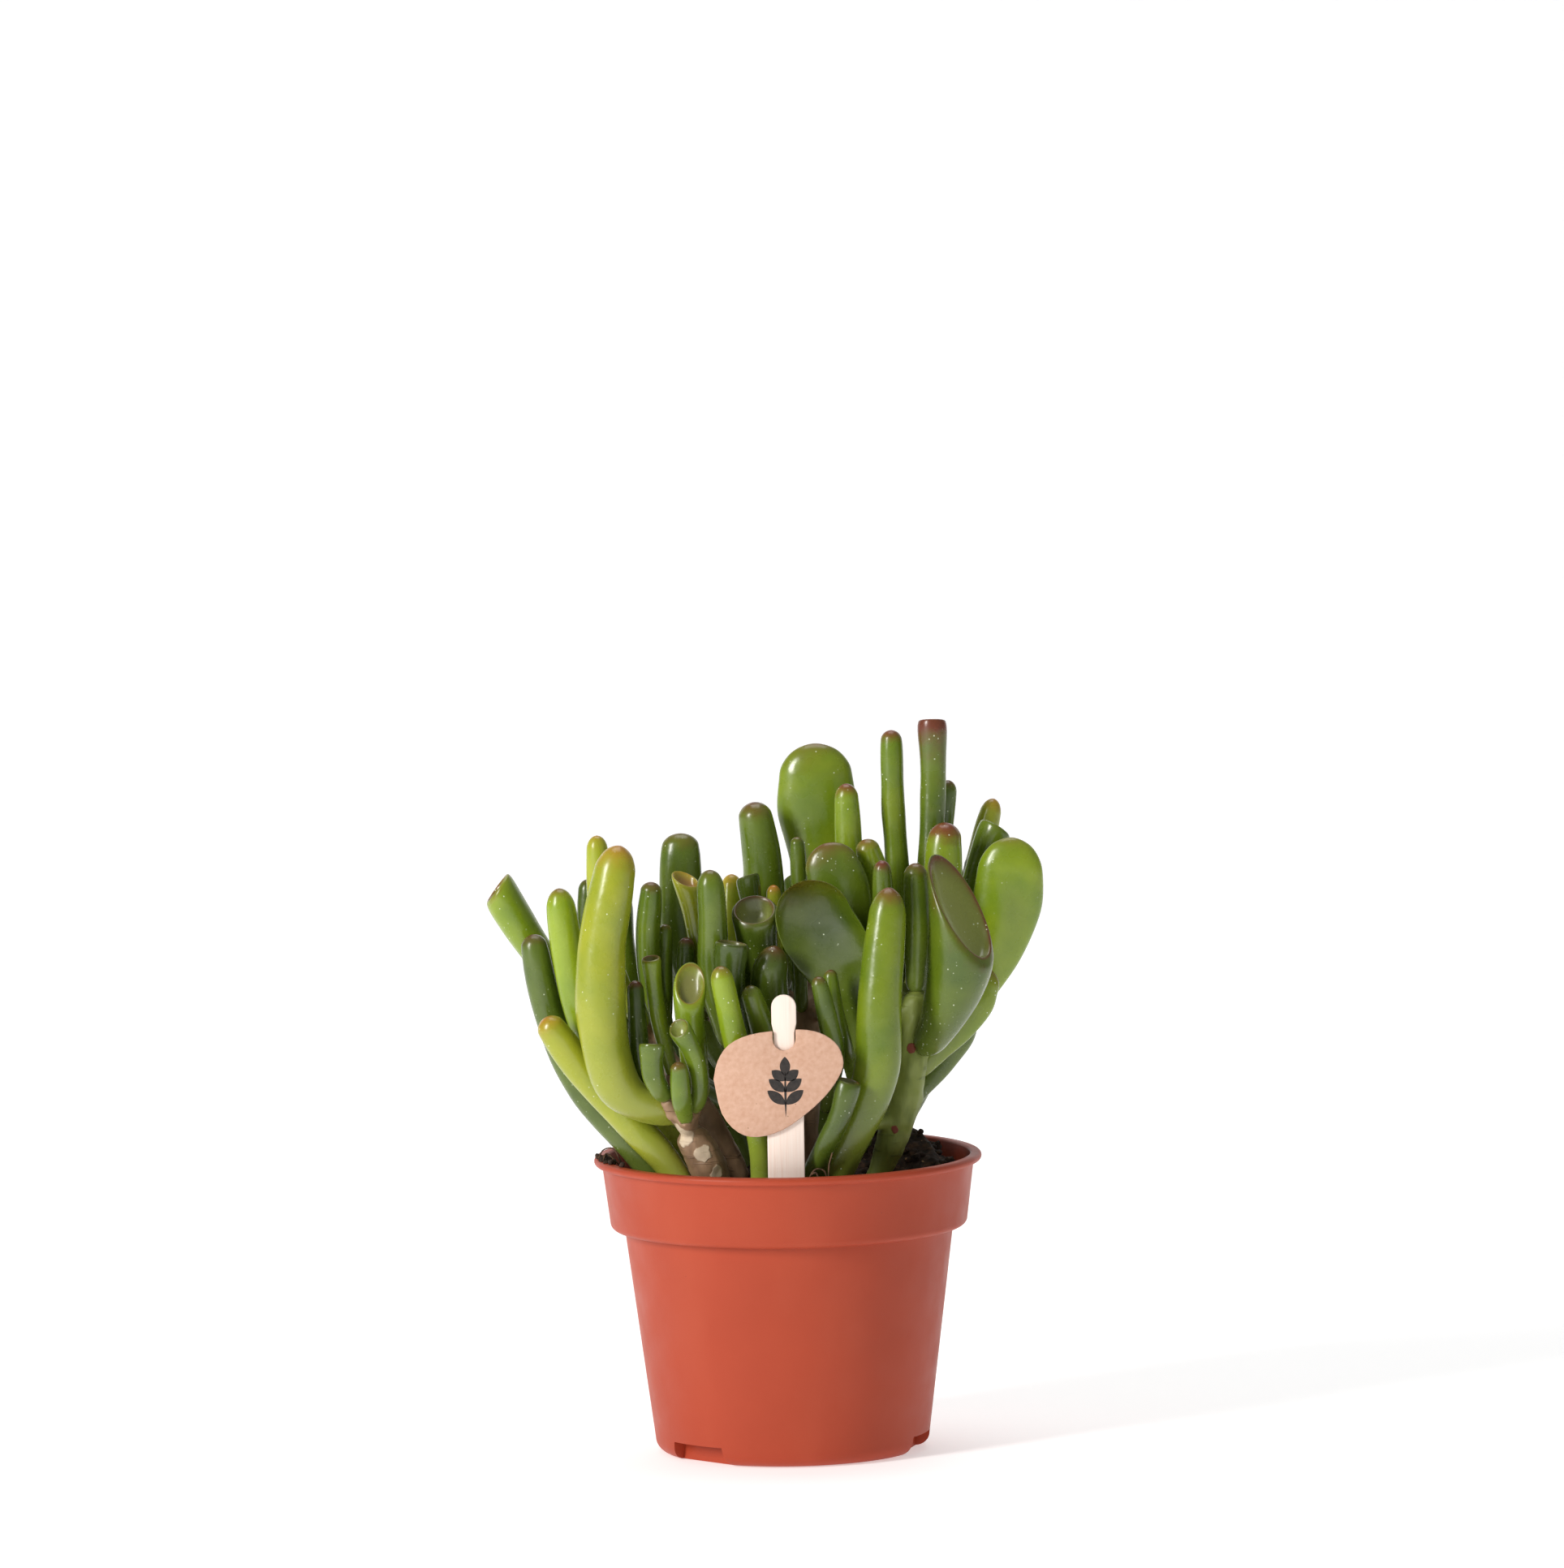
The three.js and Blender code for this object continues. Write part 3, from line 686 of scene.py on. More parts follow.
@dataclass(frozen=True)
class LeafSkin:
    """Glossy leaf skin with a coloured tip, fine white pores, and painted shade in a hollowed paddle's
    hollow.

    Attributes:
        name: The material's name.
        foot: Colour at the leaf's foot.
        body: Colour of most of the leaf.
        shade: Colour of its darker patches.
        tip: Colour of the tip and the mouth's rim.
        inner: Colour inside a mouth.
        blush_from: Nearness to the tip, 1 at the tip itself, where its colour begins to show.
        pores: Share of places that hold a white pore.
    """

    name: str
    foot: Colour
    body: Colour
    shade: Colour
    tip: Colour
    inner: Colour
    blush_from: float = 0.5
    pores: float = 0.16

    def material(self) -> bpy.types.Material:
        """Builds the node material.

        Returns:
            The material.
        """
        sheet = Sheet(self.name)
        along = sheet.attribute("along")
        clouds = sheet.noise(14, 3)
        mottled = sheet.mix(sheet.ramp(clouds, [(0.28, 0.0), (0.8, 1.0)], True), self.body, self.shade)
        colour = sheet.mix(sheet.ramp(along, [(0.0, 1.0), (0.55, 0.0)], True), mottled, self.foot)
        tone = sheet.ramp(sheet.attribute("tone"), [(0.0, 0.72), (1.0, 1.22)])
        colour = sheet.mix(1.0, colour, tone, "MULTIPLY")
        red = sheet.attribute("red")
        wander = sheet.maths("MULTIPLY", sheet.maths("SUBTRACT", sheet.noise(5), 0.5), 0.5)
        edge = sheet.maths("ADD", sheet.attribute("crown"), wander)
        edge = sheet.maths("ADD", edge, sheet.maths("MULTIPLY", red, 0.1))
        blush = sheet.ramp(edge, [(self.blush_from, 0.0), (1.0, 1.0)], True)
        blush = sheet.maths("MULTIPLY", blush, sheet.ramp(red, [(0.0, 0.12), (0.3, 0.5), (1.0, 0.9)]))
        colour = sheet.mix(blush, colour, self.tip)
        # Painted shade: a hollowed paddle is darkened by the depth of its hollow, where shade falls.
        colour = sheet.mix(sheet.attribute("hollow"), colour, (0.5, 0.5, 0.36), "MULTIPLY")
        colour = sheet.mix(sheet.attribute("inner"), colour, self.inner)
        broken = sheet.ramp(sheet.noise(7), [(0.3, 0.35), (0.6, 0.9)])
        rim = sheet.maths("MULTIPLY", sheet.attribute("rim"), broken)
        rim = sheet.maths("MULTIPLY", rim, sheet.ramp(red, [(0.0, 0.5), (0.8, 1.0)]))
        colour = sheet.mix(rim, colour, self.tip)
        pores = sheet.specks(1.35, 0.2, self.pores * 2)
        pores = sheet.maths("MULTIPLY", pores, sheet.ramp(sheet.noise(10, 1), [(0.46, 0.04), (0.6, 0.95)]))
        colour = sheet.mix(pores, colour, srgb(226, 236, 204))
        grain = sheet.bump(sheet.noise(0.9, 2), 0.05, 0.5)
        dents = sheet.bump(sheet.noise(5, 2), 0.5, 0.35, grain)
        normal = sheet.bump(pores, 0.06, 0.6, dents)
        gloss = sheet.ramp(sheet.noise(6, 4), [(0.3, 0.22), (0.7, 0.34)])
        return sheet.done(
            colour, gloss, normal,
            Subsurface_Weight=0.06, Subsurface_Scale=0.003, Subsurface_Radius=(1.0, 1.0, 0.3),
            Coat_Weight=0.2, Coat_Roughness=0.2, Specular_IOR_Level=0.52,
        )


class Skin(Enum):
    """The leaf finishes."""

    BRIGHT = LeafSkin(
        "bright_leaf_skin", srgb(156, 164, 62), srgb(172, 178, 44), srgb(148, 162, 34), srgb(186, 110, 34),
        srgb(166, 132, 66), 0.36, 0.05,
    )
    FRESH = LeafSkin(
        "fresh_leaf_skin", srgb(136, 150, 58), srgb(134, 154, 30), srgb(106, 132, 22), srgb(122, 50, 34),
        srgb(122, 122, 64), 0.5, 0.1,
    )
    GREEN = LeafSkin(
        "green_leaf_skin", srgb(116, 134, 54), srgb(106, 126, 28), srgb(80, 104, 20), srgb(112, 46, 36),
        srgb(136, 144, 66), 0.5, 0.14,
    )
    DARK = LeafSkin(
        "dark_leaf_skin", srgb(98, 114, 46), srgb(86, 104, 28), srgb(60, 80, 18), srgb(104, 48, 34),
        srgb(130, 136, 74), 0.5, 0.16,
    )


SLOT_SKINS = {"bright_leaf": Skin.BRIGHT, "green_leaf": Skin.GREEN, "dark_leaf": Skin.DARK}
FRESH_LEAVES = {
    "left_leaf_1", "left_leaf_3", "left_leaf_11", "left_leaf_12",
    "centre_leaf_1", "centre_leaf_8", "centre_leaf_9",
    "right_leaf_1", "right_leaf_3", "right_leaf_4", "right_leaf_6", "right_leaf_10", "right_leaf_12",
}
# How red a leaf's tip is, where it isn't left to chance; past 1 the red runs further down.
RED_TIPS = {
    "left_leaf_1": 0.9, "left_leaf_4": 0.3, "left_leaf_11": 0.9, "left_sprout_1": 1.0, "left_sprout_3": 1.0,
    "centre_leaf_8": 0.1, "centre_leaf_9": 0.8, "centre_leaf_11": 0.1, "centre_sprout_1": 0.9,
    "right_leaf_1": 0.5, "right_leaf_2": 1.1, "right_leaf_4": 0.9, "right_leaf_5": 4.5, "right_leaf_6": 1.3,
    "right_leaf_7": 0.4, "right_leaf_9": 0.7, "right_leaf_12": 0.0,
}
# How light a leaf is, 0 to 1, where it isn't left to chance.
TONES = {
    "left_leaf_3": 1.0, "centre_leaf_1": 0.8, "centre_leaf_11": 0.15,
    "right_leaf_1": 0.1, "right_leaf_9": 0.1, "right_leaf_12": 0.8, "right_leaf_13": 0.3,
}
# Paddles that are hollowed on one side, and the way that side looks; the hollow is pressed in and also
# darkened with painted shade.
HOLLOWED = {"centre_leaf_11": (-0.35, -0.93, 0.1)}
RIM_WIDTH = 0.26  # of a mouth's coloured rim, in rings of the grid
CROWN_WIDTHS = 0.7  # how far a tip's colour runs down, in leaf widths
CUP_CROWN = 0.6  # share of that colour on a cup, whose rim carries it instead


# ---------------------------------------------------------------------------
# Plant
# ---------------------------------------------------------------------------


@dataclass
class Foliage:
    """All the leaves, each a smooth fleshy form through its CAD rings.

    Attributes:
        around: Points round a leaf.
        steps: Fine rings for each ring of the CAD sweep.
        swell_mm: Height of the skin's gentle unevenness.
        swell_size_mm: Its width.
        hollow_mm: Depth of a hollowed paddle's hollow.
        materials: The finishes made so far.
    """

    around: int = 40
    steps: int = 8
    swell_mm: float = 0.35
    swell_size_mm: float = 13.0
    hollow_mm: float = 3.6
    materials: dict[Skin, bpy.types.Material] = field(default_factory=dict)

    def leaf(
        self, name: str, grid: LeafGrid, slot: str, chance: random.Random, nodes: Iterable[str] = ()
    ) -> None:
        """Builds and dresses one leaf.

        Args:
            name: The leaf's name.
            grid: Its rings.
            slot: Its material slot.
            chance: Seeded random numbers.
            nodes: The CAD node that it stands for, if any.
        """
        rings, places = grid.refined(self.around, self.steps)
        count = len(grid.rings)
        rings, hollow = self._hollowed(rings, places / count, HOLLOWED.get(name))
        body = rings[1:-1]
        points = [rings[0][0], *body.reshape(-1, 3), rings[-1][0]]
        last = len(points) - 1
        faces = [(0, 1 + (j + 1) % self.around, 1 + j) for j in range(self.around)]
        for i in range(len(body) - 1):
            low = 1 + i * self.around
            for j in range(self.around):
                k = (j + 1) % self.around
                faces.append((low + j, low + k, low + self.around + k, low + self.around + j))
        top = 1 + (len(body) - 1) * self.around
        faces += [(last, top + j, top + (j + 1) % self.around) for j in range(self.around)]
        leaf = make_object(f"{name}_flesh", points, faces)
        work = bmesh.new()
        work.from_mesh(leaf.data)
        bmesh.ops.recalc_face_normals(work, faces=work.faces)
        work.to_mesh(leaf.data)
        work.free()
        centres = grid.rings.mean(1)
        cupped = float((centres[-1] - centres[-3]) @ (centres[-4] - centres[-5])) < 0
        per_point = np.concatenate([[places[0]], np.repeat(places[1:-1], self.around), [places[-1]]])
        self._swell(leaf, per_point, count)
        lengths = np.concatenate([[0], np.cumsum(np.linalg.norm(np.diff(centres, axis=0), axis=1))])
        reach = lengths if not cupped else np.minimum(lengths, lengths[-4])
        along = np.interp(per_point, np.arange(count), reach / reach.max())
        mouth = count - 3.0
        inner = np.clip((per_point - mouth) / 0.8, 0, 1) if cupped else np.zeros_like(per_point)
        if cupped:
            rim = np.exp(-(((per_point - mouth) / RIM_WIDTH) ** 2))
        else:
            rim = np.clip((per_point - count + 2.4), 0, 1) ** 2
        set_attribute(leaf, "along", along)
        set_attribute(leaf, "inner", inner)
        set_attribute(leaf, "rim", rim)
        width = 2 * float(np.linalg.norm(grid.rings - centres[:, None], axis=2).max())
        from_tip = np.interp(per_point, np.arange(count), reach.max() - reach)
        crown = np.exp(-from_tip / (CROWN_WIDTHS * width))
        if cupped and RED_TIPS.get(name, 0) <= 1:
            crown *= CUP_CROWN
        set_attribute(leaf, "crown", crown)
        # The hollow's depth, which the skin turns into painted shade.
        set_attribute(leaf, "hollow", hollow)
        set_attribute(leaf, "tone", np.full(len(per_point), TONES.get(name, chance.uniform(0.25, 0.75))))
        set_attribute(leaf, "red", np.full(len(per_point), RED_TIPS.get(name, chance.uniform(0.1, 0.5))))
        skin = Skin.FRESH if name in FRESH_LEAVES else SLOT_SKINS[slot]
        if skin not in self.materials:
            self.materials[skin] = skin.value.material()
        finish_piece(leaf, self.materials[skin], nodes)

    def _hollowed(
        self, rings: np.ndarray, shares: np.ndarray, face: Point | None
    ) -> tuple[np.ndarray, np.ndarray]:
        """Presses one side of a paddle in.

        Args:
            rings: The leaf's fine rings.
            shares: Each ring's place along the leaf, 0 to 1.
            face: The way that the hollow looks, or None for a plain leaf.

        Returns:
            The rings, and how deep in the hollow each corner lies, 0 to 1, which also sets how much painted
            shade the hollow gets.
        """
        depth = np.zeros(rings.shape[:2])
        if face is not None:
            look = np.array(face) / np.linalg.norm(face)
            off = rings - rings.mean(1, keepdims=True)
            front = off @ look
            side = np.linalg.norm(off - front[..., None] * look, axis=2)
            across = side / np.maximum(side.max(1, keepdims=True), 1e-9)
            window = np.clip(np.sin(math.pi * np.clip((shares - 0.3) / 0.6, 0, 1)), 0, 1)[:, None]
            depth = np.where(front > 0, np.sqrt(np.clip(1 - across**2, 0, 1)) * window, 0)
            rings = rings - depth[..., None] * look * self.hollow_mm * MM
        return rings, np.concatenate([depth[0, :1], depth[1:-1].ravel(), depth[-1, :1]])

    def _swell(self, leaf: bpy.types.Object, per_point: np.ndarray, count: int) -> None:
        """Makes the skin gently uneven.

        Args:
            leaf: The leaf.
            per_point: Each corner's place along the grid.
            count: Rings in the grid.
        """
        shift = Vector((hash_of(leaf.name), 0, 0))
        for vertex, place in zip(leaf.data.vertices, per_point):
            calm = min(1.0, place / 2, max(0.15, count - 3 - place))
            lump = noise.noise(vertex.co / (self.swell_size_mm * MM) + shift)
            vertex.co += vertex.normal * (lump * self.swell_mm * MM * calm)

    def build(self, frame: dict) -> None:
        """Builds every leaf of the frame.
        """
        chance = random.Random(11)
        slots = {row["node"]: row["material_slot"] for row in frame["record"]["subparts"]}
        for name in sorted(n for n in frame["nodes"] if "_leaf_" in n):
            self.leaf(name, LeafGrid.of_node(frame["nodes"][name]), slots[name], chance, [name])
        for sprout in SPROUTS:
            self.leaf(sprout.name, LeafGrid.of_sprout(sprout), sprout.slot, chance)


def hash_of(name: str) -> float:
    """A steady number for a name, so that each piece's noise differs.

    Args:
        name: The piece's name.

    Returns:
        A number from 0 to 100.
    """
    return sum((i + 3) * ord(letter) for i, letter in enumerate(name)) % 1000 / 10


def copy_of(node: bpy.types.Object, name: str) -> bpy.types.Object:
    """A free copy of a CAD node, to be worked on.

    Args:
        node: The CAD object.
        name: The copy's name.

    Returns:
        The copy.
    """
    made = bpy.data.objects.new(name, node.data.copy())
    bpy.context.scene.collection.objects.link(made)
    made.data.materials.clear()
    return made


@dataclass
class Stems:
    """The fleshy stems: remeshed so that the shoots grow out of them softly, with bark and scars.

    Attributes:
        voxel_mm: Size of the remesh.
        rough_mm: Height of the bark's unevenness.
        scars: Leaf scars: place and radius in millimetres.
    """

    voxel_mm: float = 0.8
    rough_mm: float = 0.4
    scars: tuple[tuple[float, float, float, float], ...] = (
        (-33, -36, 102.5, 7.5), (-26, -34, 97, 5.0), (-22, -33, 91, 4.0), (-14, -12, 108, 4.0),
        (38.5, -19, 126.5, 3.2), (33, -19, 101, 2.6), (36, 5, 126, 3.0), (8, 4, 118, 3.5),
        (-26, -9, 112, 4.5),
    )

    def bark(self, name: str, main: Colour, dark: Colour, scar: Colour) -> bpy.types.Material:
        """Smooth bark with rings and pale scars.

        Args:
            name: The material's name.
            main: Bark colour.
            dark: Colour of cracks and rings.
            scar: Colour of the leaf scars.

        Returns:
            The material.
        """
        sheet = Sheet(name)
        streaks = sheet.noise(7, 5, (0.5, 0.5, 1.4))
        colour = sheet.mix(sheet.ramp(streaks, [(0.42, 0.0), (0.8, 0.8)]), main, dark)
        rings = sheet.noise(8, 3, (2.4, 2.4, 0.25))
        ringed = sheet.ramp(rings, [(0.6, 0.0), (0.64, 0.55), (0.68, 0.0)])
        colour = sheet.mix(ringed, colour, dark)
        edge = sheet.maths("MULTIPLY", sheet.maths("SUBTRACT", sheet.noise(2.5, 3), 0.5), 0.5)
        mark = sheet.ramp(sheet.maths("ADD", sheet.attribute("scar"), edge), [(0.42, 0.0), (0.5, 1.0)])
        colour = sheet.mix(mark, colour, scar)
        normal = sheet.bump(ringed, 0.3, 0.6, sheet.bump(streaks, 0.5, 0.5))
        normal = sheet.bump(mark, 0.25, 0.8, normal)
        return sheet.done(colour, sheet.ramp(streaks, [(0.3, 0.42), (0.7, 0.65)]), normal)

    def build(self, frame: dict) -> None:
        """Builds each stem of the frame.
        """
        finishes = {
            "bark": self.bark("brown_bark", srgb(160, 128, 98), srgb(106, 80, 56), srgb(214, 194, 166)),
            "green_stem": self.bark("green_bark", srgb(134, 146, 62), srgb(94, 106, 44), srgb(128, 60, 40)),
        }
        for row in frame["record"]["subparts"]:
            name, slot = row["node"], row["material_slot"]
            if slot not in finishes:
                continue
            stem = copy_of(frame["nodes"][name], f"{name}_bark")
            remesh = stem.modifiers.new("remesh", "REMESH")
            remesh.mode = "VOXEL"
            remesh.voxel_size = self.voxel_mm * MM
            soften = stem.modifiers.new("soften", "SMOOTH")
            soften.iterations = 6
            soften.factor = 0.6
            apply_modifiers(stem)
            stem.data.shade_smooth()
            for vertex in stem.data.vertices:
                lump = noise.fractal(vertex.co / (6 * MM), 1.0, 2.0, 3)
                vertex.co += vertex.normal * ((lump * self.rough_mm + 0.12) * MM)
            corners = np.array([v.co for v in stem.data.vertices]) / MM
            scars = [np.linalg.norm(corners - spot, axis=1) / size for *spot, size in self.scars]
            set_attribute(stem, "scar", np.clip(1 - np.min(scars, axis=0), 0, 1))
            finish_piece(stem, finishes[slot], [name])


# Paths of the root strands, in millimetres.
STRANDS = (
    ((4, -50, 84), (6, -50.5, 90), (8.5, -51, 93.6), (11, -50.5, 93), (12, -50, 89), (12.5, -49, 84)),
    ((8, -51, 84), (9.5, -52, 89), (8.4, -51.5, 92.6), (7.2, -51, 92)),
    ((11, -50, 84), (12.2, -51, 90), (12.6, -50.8, 95), (13.6, -50.4, 98.5)),
    ((-58.5, -8, 92.6), (-57, -7, 95), (-54, -8, 95.5), (-50, -9, 87)),
    ((-57, -14, 92.6), (-56, -12, 94.5), (-52, -13, 91), (-48, -14, 85)),
)


@dataclass
class Peat:
    """The soil: a lumpy top with crumbs and root strands, and the plug below it.

    Attributes:
        pot: The pot that it fills.
        rows: Rings of the top's mesh.
        sides: Points round it.
        crumbs: Loose crumbs on it.
    """

    pot: NurseryPot
    rows: int = 70
    sides: int = 220
    crumbs: int = 620

    def finish(self) -> bpy.types.Material:
        """Dark moist peat.

        Returns:
            The material.
        """
        sheet = Sheet("moist_peat")
        fine = sheet.noise(2.2, 6)
        dark, brown, pale = srgb(24, 16, 11), srgb(52, 35, 24), srgb(98, 70, 48)
        colour = sheet.ramp(fine, [(0.3, dark), (0.55, brown), (0.78, pale)])
        fibres = sheet.specks(2.6, 0.2, 0.12)
        colour = sheet.mix(fibres, colour, srgb(150, 120, 88))
        normal = sheet.bump(fine, 1.2, 0.9)
        return sheet.done(colour, 0.95, normal)

    def build(self, frame: dict) -> None:
        """Builds the soil's plug and crumbs.
        """
        material = self.finish()
        node = frame["nodes"]["soil"]
        low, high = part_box("soil")
        points, _ = cad_surface(node)
        outer = np.hypot(points[:, 0], points[:, 1]) > high.x - 2 * MM
        edge = float(np.median(points[outer][:, 2]))
        radius = self.pot.bore(edge / MM) * MM
        surface = BVHTree.FromObject(node, bpy.context.evaluated_depsgraph_get())
        height = self._heights(surface, radius, high.z)
        top = []
        for i in range(1, self.rows + 1):
            r = radius * (i / self.rows) ** 0.8
            for j in range(self.sides):
                turn = 2 * math.pi * j / self.sides
                x, y = r * math.cos(turn), r * math.sin(turn)
                calm = min(1.0, (radius - r) / (3 * MM) + 0.2)
                top.append((x, y, self._lumpy(x, y, height[i - 1][j], calm)))
        side = self.pot.plug_side(low.z / MM)
        turns = [2 * math.pi * j / self.sides for j in range(self.sides)]
        bottom = [
            (r * MM * math.cos(turn), r * MM * math.sin(turn), z * MM) for r, z in side for turn in turns
        ]
        corners = [(0, 0, self._lumpy(0, 0, height[0][0], 1.0)), *top, *bottom, (0, 0, low.z)]
        faces = [(0, 1 + j, 1 + (j + 1) % self.sides) for j in range(self.sides)]
        for i in range(self.rows + len(side) - 1):
            base = 1 + i * self.sides
            for j in range(self.sides):
                k = (j + 1) % self.sides
                faces.append((base + j, base + self.sides + j, base + self.sides + k, base + k))
        last = len(corners) - 1
        base = last - self.sides
        faces += [(base + j, last, base + (j + 1) % self.sides) for j in range(self.sides)]
        soil = make_object("soil_plug", corners, faces)
        finish_piece(soil, material, ["soil"])
        self._scatter(soil, material, radius)
        self._strands()

    def _heights(self, surface: BVHTree, radius: float, top: float) -> np.ndarray:
        """The CAD soil's height on the polar grid, with the stems' sockets bridged.

        Args:
            surface: The CAD soil.
            radius: The soil's radius.
            top: Its highest point.

        Returns:
            Heights by ring and side.
        """
        level = np.zeros((self.rows, self.sides))
        for i in range(self.rows):
            r = radius * ((i + 1) / self.rows) ** 0.8 * 0.985
            for j in range(self.sides):
                turn = 2 * math.pi * j / self.sides
                above = Vector((r * math.cos(turn), r * math.sin(turn), top + 0.01))
                hit = surface.ray_cast(above, Vector((0, 0, -1)))
                level[i, j] = hit[0].z if hit[0] is not None else np.nan
        edge = float(np.nanmedian(level[-1]))
        level = np.where(np.isnan(level) | (level < edge - 3 * MM), np.nan, level)
        for _ in range(60):
            if not np.isnan(level).any():
                break
            padded = np.pad(level, ((1, 1), (0, 0)), mode="edge")
            near = np.stack([padded[:-2], padded[2:], np.roll(level, 1, 1), np.roll(level, -1, 1)])
            filled = np.nanmean(np.where(np.isnan(near).all(0), edge, near), axis=0)
            level = np.where(np.isnan(level), filled, level)
        return level

    def _lumpy(self, x: float, y: float, z: float, share: float) -> float:
        """Adds the peat's lumps to a height.

        Args:
            x: Place.
            y: Place.
            z: Level height.
            share: How much of the lumps to add.

        Returns:
            The height.
        """
        here = Vector((x, y, 0)) / MM
        lump = 1.1 * noise.fractal(here / 7, 1.0, 2.0, 3) + 0.75 * noise.fractal(here / 2.4, 0.9, 2.1, 3)
        return z + lump * share * MM

    def _scatter(self, soil: bpy.types.Object, material: bpy.types.Material, radius: float) -> None:
        """Strews crumbs over the soil and on the rim at the left.

        Args:
            soil: The plug.
            material: The peat.
            radius: The soil's radius.
        """
        chance = random.Random(5)
        surface = BVHTree.FromObject(soil, bpy.context.evaluated_depsgraph_get())
        work = bmesh.new()
        for i in range(self.crumbs):
            size = chance.uniform(0.5, 1.7) ** 1.3 * MM
            r = radius * math.sqrt(chance.uniform(0, 0.93))
            turn = chance.uniform(0, 2 * math.pi)
            hit = surface.ray_cast(Vector((r * math.cos(turn), r * math.sin(turn), 0.2)), Vector((0, 0, -1)))
            if hit[0] is None:
                continue
            self._crumb(work, hit[0] + Vector((0, 0, size * 0.3)), size, i, chance)
        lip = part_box("pot")[1]
        for i in range(26):
            turn = math.radians(chance.gauss(192, 9))
            r = lip.x - chance.uniform(1.0, 4.5) * MM
            size = chance.uniform(0.35, 1.25) * MM
            on_lip = Vector((r * math.cos(turn), r * math.sin(turn), lip.z + size * 0.5))
            self._crumb(work, on_lip, size, i + 900, chance)
        mesh = bpy.data.meshes.new("soil_crumbs")
        work.to_mesh(mesh)
        work.free()
        mesh.shade_smooth()
        crumbs = bpy.data.objects.new("soil_crumbs", mesh)
        bpy.context.scene.collection.objects.link(crumbs)
        finish_piece(crumbs, material)

    def _strands(self) -> None:
        """Lays thin root strands by the pick and over the rim at the left."""
        sheet = Sheet("dry_root")
        fibre = sheet.noise(1.6, 4)
        colour = sheet.ramp(fibre, [(0.3, srgb(58, 40, 28)), (0.7, srgb(118, 88, 62))])
        material = sheet.done(colour, 0.85, sheet.bump(fibre, 0.2, 0.6))
        for i, path in enumerate(STRANDS):
            data = bpy.data.curves.new(f"root_strand_{i + 1}", "CURVE")
            data.dimensions = "3D"
            data.bevel_depth = 0.24 * MM
            data.bevel_resolution = 3
            line = smooth_line(np.array(path, float)) * MM
            spline = data.splines.new("POLY")
            spline.points.add(len(line) - 1)
            for point, at in zip(spline.points, line):
                point.co = (*at, 1)
                point.radius = 1.0 + 0.35 * noise.noise(Vector(at) / (3 * MM))
            draft = bpy.data.objects.new("draft", data)
            bpy.context.scene.collection.objects.link(draft)
            mesh = bpy.data.meshes.new_from_object(draft.evaluated_get(bpy.context.evaluated_depsgraph_get()))
            bpy.data.objects.remove(draft)
            strand = bpy.data.objects.new(f"root_strand_{i + 1}", mesh)
            bpy.context.scene.collection.objects.link(strand)
            mesh.shade_smooth()
            finish_piece(strand, material)

    @staticmethod
    def _crumb(
        work: bmesh.types.BMesh, centre: Vector, size: float, index: int, chance: random.Random
    ) -> None:
        """Adds one crumb.

        Args:
            work: The mesh to add to.
            centre: The crumb's centre.
            size: Its radius.
            index: Its number, for its noise.
            chance: Seeded random numbers.
        """
        turn = Matrix.Rotation(chance.uniform(0, 6), 4, "Z") @ Matrix.Rotation(chance.uniform(0, 6), 4, "X")
        shape = Matrix.Diagonal((chance.uniform(0.7, 1.4), 1.0, chance.uniform(0.55, 0.9), 1.0))
        made = bmesh.ops.create_icosphere(work, subdivisions=2, radius=size, matrix=turn @ shape)
        for vertex in made["verts"]:
            lump = noise.fractal(vertex.co / size + Vector((index, 0, 0)), 1.0, 2.0, 2)
            vertex.co = centre + vertex.co * (1 + 0.42 * lump)


# ---------------------------------------------------------------------------
# Pot and label
# ---------------------------------------------------------------------------


